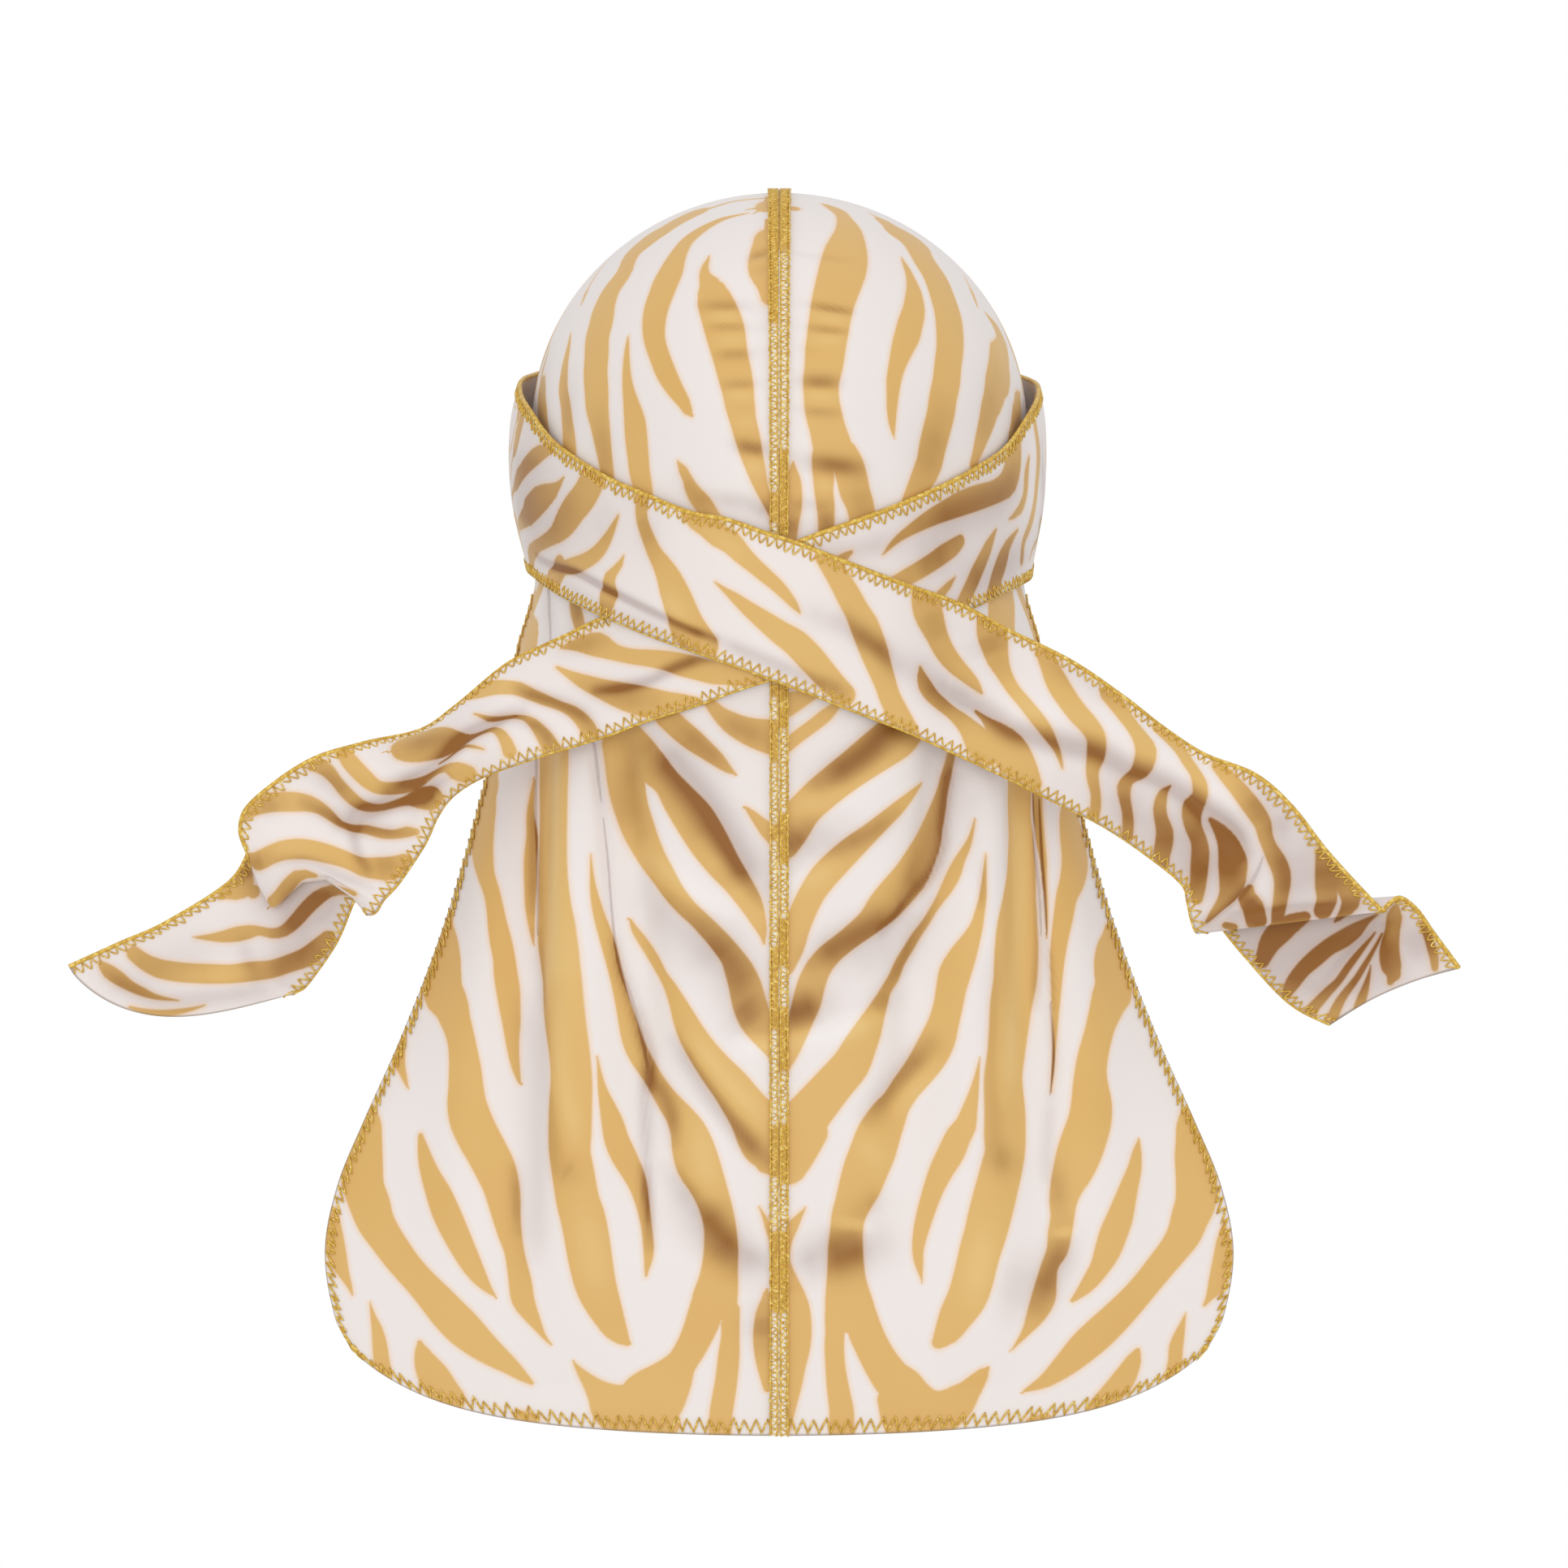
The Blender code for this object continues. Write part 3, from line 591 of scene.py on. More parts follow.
# stripes, each a run of x, y and width in the photograph's pixels
leftPanelStripes = (
    # crown
    (945, 244, 5, 920, 246, 5, 900, 249, 6, 880, 255, 7, 860, 261, 8, 840, 270, 10, 820, 282, 11,
     800, 296, 12, 780, 314, 13, 766, 340, 16, 752, 360, 18, 744, 380, 24, 740, 400, 28, 736, 420, 28,
     735, 440, 29, 734, 460, 29, 735, 480, 29, 736, 500, 28, 739, 520, 24, 742, 540, 21, 745, 560, 18,
     748, 580, 16, 752, 610, 12),
    (920, 263, 1, 905, 266, 2, 890, 270, 4, 875, 277, 6, 860, 286, 9, 844, 300, 13, 832, 320, 21,
     824, 340, 29, 816, 360, 29, 809, 380, 29, 806, 400, 28, 807, 420, 26, 813, 440, 25, 821, 460, 25,
     832, 480, 21, 842, 495, 16, 847, 505, 12, 852, 512, 3),
    (874, 316, 1, 868, 330, 9, 868, 340, 14, 874, 350, 25, 877, 360, 36, 880, 370, 43, 884, 380, 46,
     891, 400, 49, 896, 420, 47, 900, 440, 43, 905, 460, 42, 909, 480, 39, 912, 500, 36, 916, 520, 32,
     921, 540, 31, 926, 560, 27, 932, 580, 23, 938, 600, 17, 946, 620, 12, 951, 635, 7),
    (950, 284, 26, 945, 300, 34, 943, 320, 42, 943, 335, 40, 947, 350, 30, 951, 365, 22, 955, 380, 14),
    (774, 415, 1, 773, 425, 4, 772, 440, 7, 772, 460, 10, 774, 480, 14, 778, 500, 20, 782, 520, 26,
     784, 540, 27, 786, 560, 26, 788, 580, 25, 792, 600, 23, 796, 625, 18),
    (703, 412, 1, 700, 430, 4, 697, 445, 6, 695, 460, 8, 694, 480, 11, 697, 500, 12, 699, 520, 13,
     701, 540, 15, 702, 555, 16),
    (677, 428, 3, 672, 445, 8, 667, 465, 10, 667, 480, 10, 667, 500, 12, 670, 520, 12, 673, 535, 9),
    (748, 322, 1, 738, 334, 2, 730, 346, 2, 722, 361, 2, 717, 374, 1),
    (835, 569, 2, 842, 580, 11, 847, 590, 12, 851, 600, 16, 857, 610, 20, 865, 620, 22, 874, 632, 20,
     884, 642, 14),
    # between the ties
    (651, 738, 6, 650, 755, 14, 651, 770, 20, 653, 785, 22, 655, 800, 22),
    (706, 735, 10, 709, 750, 14, 713, 765, 14, 716, 778, 12),
    # cape
    (606, 955, 14, 603, 975, 18, 600, 1000, 20, 597, 1020, 24, 596, 1040, 27, 597, 1060, 25, 600, 1080, 21,
     606, 1100, 20, 610, 1120, 21, 613, 1140, 24, 617, 1160, 27, 621, 1180, 27, 623, 1200, 29, 626, 1220, 29,
     628, 1240, 26, 630, 1260, 22, 631, 1280, 17, 633, 1300, 13, 636, 1318, 9, 640, 1334, 3),
    (553, 1130, 10, 548, 1146, 18, 546, 1170, 34, 545, 1195, 46, 547, 1220, 50, 557, 1240, 43, 563, 1260, 36,
     568, 1280, 34, 571, 1300, 36, 573, 1320, 40, 574, 1340, 43, 575, 1360, 48, 580, 1380, 52, 589, 1400, 52,
     600, 1420, 51, 610, 1440, 50, 617, 1460, 45, 621, 1480, 40, 624, 1500, 34, 628, 1520, 29, 633, 1540, 24,
     637, 1560, 25, 641, 1580, 28, 644, 1600, 28, 651, 1615, 22, 660, 1630, 14, 669, 1645, 6, 678, 1656, 2),
    (657, 960, 2, 653, 1000, 8, 655, 1030, 13, 653, 1060, 15, 653, 1090, 14, 653, 1120, 11, 655, 1145, 6,
     657, 1163, 1),
    (682, 930, 36, 682, 960, 36, 682, 1000, 34, 681, 1040, 35, 681, 1080, 37, 683, 1120, 42, 686, 1150, 49,
     690, 1180, 50, 692, 1200, 49, 694, 1230, 51, 697, 1260, 51, 702, 1300, 50, 704, 1330, 51, 703, 1360, 53,
     702, 1400, 53, 702, 1420, 51, 706, 1445, 52, 712, 1480, 53, 718, 1500, 55, 723, 1525, 55, 727, 1550, 54,
     733, 1580, 51, 740, 1600, 46, 749, 1620, 38, 757, 1636, 30, 766, 1648, 18, 772, 1654, 9),
    (736, 1302, 1, 739, 1325, 6, 743, 1345, 12, 749, 1365, 20, 755, 1385, 27, 760, 1405, 30, 768, 1423, 31,
     777, 1440, 28, 785, 1457, 24, 790, 1475, 19, 794, 1495, 15, 797, 1515, 13, 799, 1535, 13, 799, 1550, 11,
     797, 1563, 6, 796, 1573, 2),
    (762, 915, 42, 768, 940, 46, 771, 960, 46, 774, 980, 44, 779, 1000, 42, 786, 1020, 41, 795, 1040, 37,
     806, 1060, 33, 818, 1080, 30, 830, 1100, 27, 846, 1119, 24, 857, 1129, 23, 869, 1141, 24, 885, 1158, 26,
     901, 1178, 29, 911, 1197, 36, 918, 1215, 40, 923, 1235, 42, 930, 1255, 40, 940, 1275, 30, 950, 1295, 16,
     958, 1312, 6),
    (775, 912, 40, 795, 935, 42, 808, 950, 38, 821, 964, 34, 838, 987, 43, 856, 1010, 50, 873, 1037, 49,
     890, 1063, 42, 908, 1087, 34, 925, 1113, 28, 935, 1136, 18, 940, 1151, 9, 941, 1162, 2),
    (820, 882, 28, 838, 899, 28, 854, 912, 27, 868, 923, 23, 883, 935, 18, 895, 946, 11, 905, 953, 3),
    (868, 858, 10, 876, 868, 14, 887, 880, 19, 900, 890, 26, 915, 898, 31, 932, 904, 37, 950, 908, 43),
    (919, 995, 3, 927, 1003, 9, 936, 1013, 14, 946, 1023, 20, 955, 1030, 24),
    (777, 1134, 3, 782, 1145, 8, 790, 1157, 11, 800, 1172, 12, 809, 1187, 12, 817, 1202, 11, 826, 1217, 15,
     835, 1236, 21, 843, 1255, 28, 853, 1276, 34, 867, 1298, 38, 884, 1320, 43, 901, 1340, 48, 925, 1373, 56,
     944, 1396, 74, 956, 1404, 88),
    (728, 1054, 1, 729, 1075, 4, 731, 1095, 8, 735, 1115, 12, 740, 1133, 15, 746, 1150, 18, 752, 1170, 19,
     757, 1190, 18, 762, 1210, 18, 767, 1232, 19, 773, 1255, 23, 778, 1275, 26, 784, 1293, 26, 793, 1310, 24,
     803, 1325, 22, 812, 1340, 24, 824, 1358, 28, 837, 1375, 34, 848, 1395, 44, 854, 1415, 52, 860, 1435, 54,
     869, 1455, 48, 877, 1475, 43, 883, 1495, 41, 887, 1515, 40, 888, 1540, 41, 887, 1560, 44, 885, 1580, 49,
     881, 1600, 56),
    (898, 1615, 27, 900, 1640, 22, 898, 1670, 26, 895, 1700, 27, 891, 1725, 28, 888, 1745, 28,
     887, 1770, 28),
    (873, 1605, 42, 867, 1625, 42, 859, 1645, 39, 850, 1663, 37, 838, 1682, 38, 822, 1705, 58, 800, 1728, 78,
     780, 1738, 58, 758, 1735, 57, 742, 1720, 35, 728, 1705, 20, 716, 1691, 10, 707, 1679, 2),
    (818, 1752, 40),
    (936, 1488, 1, 942, 1500, 5, 948, 1515, 9, 953, 1530, 8),
    (944, 1592, 6, 944, 1605, 14, 943, 1620, 24, 943, 1645, 30, 943, 1670, 26, 944, 1695, 16, 944, 1712, 6),
    (456, 1366, 10, 455, 1385, 27, 450, 1405, 40, 447, 1425, 48, 446, 1445, 52, 449, 1465, 50, 456, 1485, 50,
     463, 1505, 46, 475, 1525, 42, 489, 1545, 40, 503, 1563, 38, 520, 1582, 38, 538, 1602, 42, 555, 1621, 45,
     572, 1638, 45, 592, 1656, 38, 610, 1670, 30, 627, 1682, 22, 642, 1694, 14, 655, 1704, 5),
    (518, 1399, 6, 521, 1415, 13, 525, 1432, 19, 532, 1452, 25, 540, 1470, 31, 548, 1490, 34, 556, 1508, 34,
     564, 1525, 32, 573, 1543, 29, 582, 1560, 25, 592, 1576, 18, 602, 1589, 9, 609, 1596, 3),
    (490, 1275, 12, 490, 1290, 18, 491, 1305, 17, 495, 1318, 10, 499, 1330, 6, 502, 1339, 2),
    (410, 1495, 14, 411, 1515, 20, 413, 1535, 24, 417, 1553, 22, 424, 1570, 13, 430, 1583, 7, 434, 1594, 2),
    (456, 1606, 1, 460, 1623, 7, 465, 1640, 14, 468, 1658, 18, 470, 1675, 19, 473, 1690, 19),
    (517, 1654, 5, 520, 1667, 18, 526, 1682, 30, 535, 1697, 38, 545, 1712, 38, 556, 1724, 34),
    (640, 1744, 12, 652, 1746, 12, 662, 1748, 8),
)
rightPanelStripes = (
    # crown
    (972, 254, 12, 977, 257, 6),
    (1016, 252, 2, 1032, 260, 9, 1041, 270, 15, 1046, 282, 29, 1046, 296, 42, 1043, 312, 54, 1039, 330, 58,
     1033, 350, 56, 1027, 370, 53, 1023, 390, 51, 1020, 410, 50, 1017, 430, 49, 1015, 450, 47, 1012, 470, 44,
     1012, 490, 43, 1015, 510, 44, 1020, 530, 44, 1026, 552, 48),
    (1016, 560, 30, 1015, 575, 28, 1015, 590, 26, 1015, 605, 23, 1017, 620, 22, 1018, 640, 20,
     1018, 660, 19),
    (1040, 560, 34, 1046, 575, 38, 1050, 590, 38, 1053, 605, 37, 1059, 620, 34, 1063, 640, 32,
     1066, 660, 28),
    (1111, 318, 1, 1117, 330, 6, 1122, 342, 9, 1126, 356, 16, 1127, 370, 23, 1126, 384, 28, 1122, 398, 31,
     1118, 412, 32, 1113, 425, 29, 1108, 440, 24, 1104, 455, 20, 1101, 470, 18, 1100, 485, 15, 1099, 500, 13,
     1099, 515, 10, 1100, 528, 6, 1101, 537, 2),
    (1072, 263, 2, 1085, 270, 6, 1098, 279, 10, 1112, 290, 15, 1126, 303, 19, 1141, 325, 22, 1153, 345, 25,
     1162, 368, 28, 1168, 390, 31, 1170, 410, 33, 1170, 430, 33, 1168, 450, 33, 1166, 470, 34, 1162, 490, 34,
     1159, 510, 34, 1154, 530, 34, 1149, 550, 33, 1145, 570, 32, 1141, 580, 32, 1131, 600, 27, 1122, 615, 20,
     1116, 630, 16),
    (1215, 387, 1, 1226, 402, 5, 1234, 418, 9, 1235, 430, 15, 1233, 440, 24, 1231, 450, 30, 1230, 460, 33,
     1227, 470, 32, 1225, 480, 29, 1223, 490, 27, 1220, 500, 24, 1215, 520, 20, 1209, 540, 16, 1203, 560, 11,
     1199, 572, 9),
    (1189, 342, 1, 1195, 354, 2, 1200, 366, 2, 1204, 377, 1),
    (1257, 483, 2, 1255, 495, 9, 1254, 508, 13, 1251, 522, 14, 1246, 540, 10),
    (977, 572, 4, 977, 590, 18, 977, 605, 22, 977, 625, 22, 976, 645, 16, 976, 662, 12),
    # between the ties
    (1233, 730, 32, 1233, 760, 32, 1234, 790, 32),
    # cape
    (970, 868, 30, 985, 862, 22, 1000, 856, 14),
    (1030, 870, 10, 1018, 881, 16, 1003, 893, 16, 988, 904, 16, 974, 915, 16, 962, 925, 16),
    (1118, 893, 50, 1104, 908, 54, 1077, 928, 50, 1054, 945, 46, 1034, 960, 44, 1012, 978, 43, 992, 997, 42,
     974, 1020, 48, 962, 1035, 50),
    (1135, 966, 2, 1123, 979, 9, 1107, 995, 16, 1088, 1012, 20, 1070, 1028, 24, 1050, 1045, 30,
     1032, 1062, 33, 1015, 1080, 34, 1001, 1100, 32, 991, 1120, 32, 982, 1142, 32, 973, 1165, 36,
     962, 1185, 38),
    (1175, 915, 10, 1171, 935, 10, 1166, 955, 12, 1161, 975, 13, 1155, 998, 19, 1149, 1018, 24,
     1143, 1038, 31, 1134, 1058, 37, 1122, 1080, 43, 1104, 1101, 45, 1090, 1117, 43, 1073, 1135, 33,
     1053, 1151, 28, 1035, 1165, 27, 1021, 1177, 29, 1009, 1192, 31, 1000, 1212, 34, 994, 1235, 35,
     987, 1255, 31, 980, 1275, 28, 972, 1298, 22, 965, 1318, 12),
    (1201, 1011, 2, 1197, 1028, 5, 1191, 1043, 9, 1182, 1060, 13, 1175, 1077, 17, 1166, 1095, 15,
     1158, 1108, 11, 1149, 1122, 9, 1140, 1137, 9, 1130, 1152, 10, 1120, 1170, 11, 1110, 1187, 12,
     1103, 1203, 13, 1092, 1220, 13, 1085, 1235, 18, 1077, 1252, 25, 1069, 1270, 34, 1059, 1290, 41,
     1048, 1312, 46, 1031, 1332, 48, 1014, 1352, 51, 995, 1375, 56, 978, 1400, 68, 962, 1412, 76),
    (1000, 1395, 40, 985, 1412, 50, 968, 1430, 60),
    (1215, 1052, 1, 1213, 1080, 5, 1211, 1105, 9, 1207, 1125, 12, 1203, 1142, 16, 1195, 1160, 24,
     1186, 1178, 33, 1177, 1198, 39, 1172, 1218, 37, 1168, 1240, 36, 1162, 1262, 38, 1155, 1282, 43,
     1144, 1303, 43, 1131, 1322, 39, 1117, 1340, 36, 1104, 1360, 36, 1093, 1378, 46, 1082, 1400, 54,
     1075, 1420, 56, 1067, 1440, 55, 1060, 1460, 52, 1052, 1480, 45, 1045, 1500, 41, 1043, 1520, 40,
     1042, 1540, 42, 1042, 1560, 45, 1043, 1580, 49, 1045, 1600, 56, 1047, 1612, 61),
    (1032, 1620, 32, 1029, 1640, 24, 1028, 1660, 24, 1029, 1680, 24, 1031, 1700, 26, 1034, 1720, 28,
     1037, 1740, 30, 1037, 1768, 31),
    (1060, 1620, 40, 1066, 1640, 42, 1075, 1660, 42, 1086, 1680, 44, 1100, 1700, 48, 1112, 1710, 52,
     1125, 1728, 56, 1145, 1740, 54, 1165, 1738, 50, 1180, 1728, 42, 1192, 1716, 30, 1203, 1703, 22,
     1211, 1693, 14, 1217, 1686, 4),
    (1098, 1725, 34, 1106, 1750, 38, 1120, 1765, 38, 1150, 1762, 34),
    (1257, 955, 30, 1256, 1000, 28, 1258, 1030, 30, 1259, 1060, 34, 1259, 1090, 38, 1257, 1120, 45,
     1254, 1150, 52, 1252, 1180, 54, 1250, 1210, 53, 1245, 1240, 51, 1242, 1270, 48, 1239, 1300, 46,
     1236, 1330, 47, 1238, 1370, 50, 1238, 1400, 51, 1238, 1420, 49, 1234, 1440, 51, 1229, 1460, 52,
     1224, 1480, 53, 1219, 1500, 53, 1214, 1520, 52, 1208, 1540, 51, 1203, 1560, 50, 1198, 1580, 50,
     1191, 1600, 48, 1179, 1620, 42, 1168, 1640, 32, 1156, 1654, 16),
    (1278, 972, 12, 1279, 1000, 12, 1281, 1020, 11, 1283, 1040, 10, 1286, 1060, 8, 1287, 1080, 6,
     1289, 1105, 4, 1290, 1130, 3, 1290, 1154, 1),
    (1318, 995, 16, 1319, 1015, 24, 1322, 1040, 30, 1323, 1062, 33, 1320, 1085, 31, 1314, 1105, 26,
     1310, 1130, 24, 1306, 1155, 21, 1303, 1180, 18, 1302, 1205, 14, 1301, 1230, 11, 1300, 1260, 7,
     1299, 1290, 4, 1297, 1320, 3, 1295, 1344, 1),
    (1368, 1148, 14, 1366, 1170, 24, 1368, 1190, 36, 1371, 1215, 47, 1364, 1236, 43, 1358, 1255, 37,
     1353, 1275, 35, 1347, 1300, 37, 1344, 1320, 39, 1344, 1340, 44, 1345, 1360, 50, 1343, 1380, 53,
     1337, 1400, 55, 1330, 1420, 55, 1323, 1440, 50, 1315, 1460, 41, 1310, 1480, 34, 1309, 1500, 29,
     1306, 1520, 29, 1303, 1540, 26, 1294, 1560, 21, 1290, 1580, 25, 1286, 1600, 29, 1277, 1620, 23,
     1265, 1640, 11, 1255, 1653, 5, 1247, 1663, 1),
    (1403, 1406, 3, 1401, 1420, 11, 1398, 1440, 17, 1392, 1460, 22, 1386, 1480, 27, 1380, 1500, 32,
     1372, 1520, 34, 1365, 1540, 32, 1356, 1560, 25, 1344, 1578, 20, 1334, 1590, 14, 1322, 1602, 5),
    (1462, 1372, 14, 1464, 1390, 28, 1467, 1410, 36, 1470, 1430, 44, 1474, 1455, 50, 1473, 1480, 50,
     1466, 1500, 46, 1459, 1520, 42, 1446, 1540, 37, 1430, 1560, 35, 1414, 1580, 34, 1397, 1600, 35,
     1376, 1622, 38, 1354, 1643, 40, 1335, 1660, 38, 1314, 1680, 30, 1290, 1700, 18, 1275, 1708, 10,
     1262, 1714, 3),
    (1508, 1512, 6, 1508, 1530, 18, 1507, 1550, 24, 1503, 1570, 24, 1498, 1585, 20, 1491, 1597, 10,
     1484, 1608, 3),
    (1460, 1621, 2, 1457, 1632, 7, 1453, 1645, 13, 1449, 1660, 17, 1448, 1675, 17, 1446, 1688, 18,
     1441, 1698, 12),
    (1402, 1664, 6, 1397, 1676, 18, 1391, 1688, 24, 1384, 1700, 28, 1376, 1710, 28, 1366, 1720, 26,
     1352, 1731, 18, 1343, 1738, 8),
    (1268, 1751, 8, 1280, 1748, 9, 1292, 1745, 6),
    (1207, 1306, 1, 1203, 1330, 7, 1199, 1350, 13, 1194, 1370, 20, 1189, 1388, 27, 1181, 1400, 31,
     1172, 1420, 33, 1161, 1440, 30, 1152, 1460, 26, 1145, 1480, 23, 1139, 1500, 21, 1134, 1520, 18,
     1131, 1540, 14, 1132, 1555, 11, 1134, 1567, 6, 1136, 1578, 1),
    (992, 1489, 1, 984, 1500, 8, 976, 1512, 14, 970, 1525, 14, 966, 1545, 14, 966, 1560, 18, 972, 1578, 22,
     976, 1595, 30, 978, 1615, 40, 978, 1640, 44, 976, 1660, 44, 972, 1680, 42, 970, 1700, 38, 966, 1720, 36,
     964, 1740, 30, 962, 1757, 26),
)

# soft grooves and painted shade: depth, darkness, then the stroke, whose width is the groove's; darkness is
# shade painted into the colour, a painted highlight where negative, and a depth of 0 makes no groove, only
# painted shade
leftPanelCreasesAndShade = (
    # gathers beside the seam
    (0.5, 0.06, 950, 308, 10, 935, 312, 10, 922, 316, 8),
    (0.4, 0.25, 945, 309, 9, 925, 315, 8),
    (0.5, 0.06, 950, 330, 10, 930, 333, 10),
    (0.5, 0.08, 950, 380, 12, 920, 377, 12, 890, 376, 10),
    (0, 0.3, 912, 377, 13, 866, 376, 11),
    (0, -0.3, 912, 390, 10, 874, 390, 10),
    (0.5, 0.06, 950, 404, 9, 915, 402, 9),
    (0, 0.25, 918, 403, 9, 876, 402, 9),
    (0, -0.25, 922, 420, 11, 882, 419, 11),
    (0.5, 0.06, 948, 434, 12, 915, 436, 12),
    (0, 0.3, 924, 436, 12, 886, 437, 12),
    (0.5, 0.06, 948, 472, 10, 915, 473, 10),
    (0, 0.25, 928, 473, 11, 892, 474, 11),
    (0, -0.25, 930, 488, 11, 898, 488, 11),
    (0, -0.2, 930, 520, 12, 906, 520, 12),
    (0.8, 0.2, 950, 556, 16, 925, 552, 16, 900, 546, 14),
    (0, 0.4, 944, 555, 14, 908, 549, 14),
    (0, -0.3, 942, 580, 18, 916, 574, 18),
    (0.8, 0.3, 950, 625, 18, 915, 622, 18, 870, 615, 18),
    (0, 0.5, 950, 632, 16, 932, 628, 16),
    (0, 0.3, 840, 590, 20, 868, 626, 24),
    (0, 0.25, 700, 470, 20, 702, 540, 20),
    (0, 0.3, 668, 450, 20, 668, 530, 20),
    (0, 0.25, 738, 520, 26, 750, 590, 26),
    # between the ties
    (0.9, 0.25, 674, 722, 12, 674, 755, 12, 677, 790, 12),
    (0, 0.5, 706, 730, 20, 716, 770, 20),
    # the cape's left folds
    (0.9, 0.2, 731, 915, 12, 736, 950, 12, 741, 985, 12),
    (1.2, 0.12, 732, 915, 14, 737, 950, 14, 742, 985, 14, 745, 1010, 14, 752, 1080, 14, 757, 1130, 14,
     763, 1180, 14, 772, 1210, 14, 780, 1235, 14, 790, 1270, 14, 799, 1300, 16, 799, 1320, 16,
     797, 1420, 22),
    (0, 0.4, 759, 1160, 12, 766, 1195, 13, 775, 1220, 13, 785, 1248, 12),
    (0.6, 0.55, 785, 1248, 10, 793, 1280, 12, 800, 1310, 14, 800, 1340, 14),
    (0.8, 0.15, 660, 932, 12, 659, 1000, 12, 661, 1060, 12, 661, 1150, 12),
    (0.5, 0.3, 662, 1150, 8, 665, 1200, 12, 666, 1240, 14),
    (0, 0.2, 669, 940, 16, 668, 1020, 15, 667, 1110, 15, 670, 1220, 16, 676, 1340, 14, 682, 1440, 14),
    (0, -0.45, 686, 940, 22, 683, 1020, 22, 685, 1120, 24, 690, 1220, 26),
    (0, 0.3, 656, 990, 12, 654, 1120, 12),
    (0, 0.3, 776, 930, 34, 772, 985, 34, 786, 1020, 26),
    (1.4, 0.9, 808, 920, 34, 838, 955, 46, 868, 992, 52, 896, 1038, 50, 926, 1092, 36),
    (0, -0.35, 800, 1055, 20, 850, 1094, 26, 895, 1118, 24),
    (0, -0.3, 868, 1042, 18, 905, 1092, 22, 932, 1130, 22),
    (0.8, 0.4, 800, 1104, 44, 846, 1148, 54, 884, 1188, 50),
    (0.8, 0.5, 872, 1150, 34, 905, 1190, 60, 924, 1226, 54),
    (0, 0.4, 838, 892, 26, 868, 920, 24, 895, 944, 18),
    (0, 0.35, 885, 886, 24, 945, 912, 34),
    (0.8, 0.28, 652, 1236, 28, 655, 1400, 30, 656, 1545, 30),
    (0, -0.35, 690, 1246, 20, 693, 1330, 20, 708, 1400, 20),
    (0, 0.22, 694, 1440, 26, 704, 1446, 26),
    (0, -0.25, 722, 1500, 34, 738, 1590, 34),
    (0.6, 0.4, 796, 1335, 12, 797, 1420, 12, 800, 1500, 12),
    (0, 0.5, 800, 1322, 16, 816, 1346, 20, 827, 1374, 22, 830, 1404, 18),
    (0, 0.5, 794, 1440, 12, 800, 1500, 14, 802, 1535, 14),
    (0.9, 0.62, 832, 1284, 18, 860, 1328, 22, 890, 1370, 24, 920, 1405, 24, 942, 1428, 22),
    (-0.8, -0.35, 852, 1284, 24, 892, 1330, 28, 934, 1376, 30),
    (0, -0.3, 862, 1390, 34, 872, 1466, 34),
    (0, 0.45, 905, 1236, 50, 930, 1266, 40),
    (-0.4, -0.5, 914, 1292, 22, 952, 1290, 24),
    (0, 0.3, 634, 1440, 14, 638, 1515, 14),
    (0.8, 0.3, 822, 1440, 26, 850, 1486, 28),
    (1.2, 0.7, 852, 1484, 34, 870, 1504, 42, 888, 1526, 46, 912, 1550, 40),
    (0.6, 0.35, 905, 1545, 30, 948, 1560, 28),
    (0, 0.4, 938, 1620, 40, 940, 1650, 40),
)
# hair-thin folds, drawn like the stripes: lines of painted shade, with no groove in the cloth
leftPanelFoldShadeLines = (
    (674, 722, 3, 674, 755, 3, 677, 790, 2),
    (731, 915, 3, 736, 950, 3, 741, 985, 1),
    (744, 1008, 1, 750, 1060, 2, 754, 1110, 2, 759, 1160, 3, 766, 1195, 4, 775, 1220, 4, 785, 1248, 2),
    (660, 932, 3, 659, 1000, 2, 661, 1060, 2, 661, 1150, 1),
    (778, 1222, 1, 790, 1270, 3, 797, 1312, 1),
)
rightPanelFoldShadeLines = (
    (1273, 978, 1, 1275, 1040, 3, 1281, 1100, 3, 1283, 1150, 1),
    (1281, 985, 1, 1284, 1050, 3, 1287, 1100, 3, 1290, 1150, 1),
    (1294, 1236, 1, 1298, 1300, 3, 1294, 1348, 1),
)
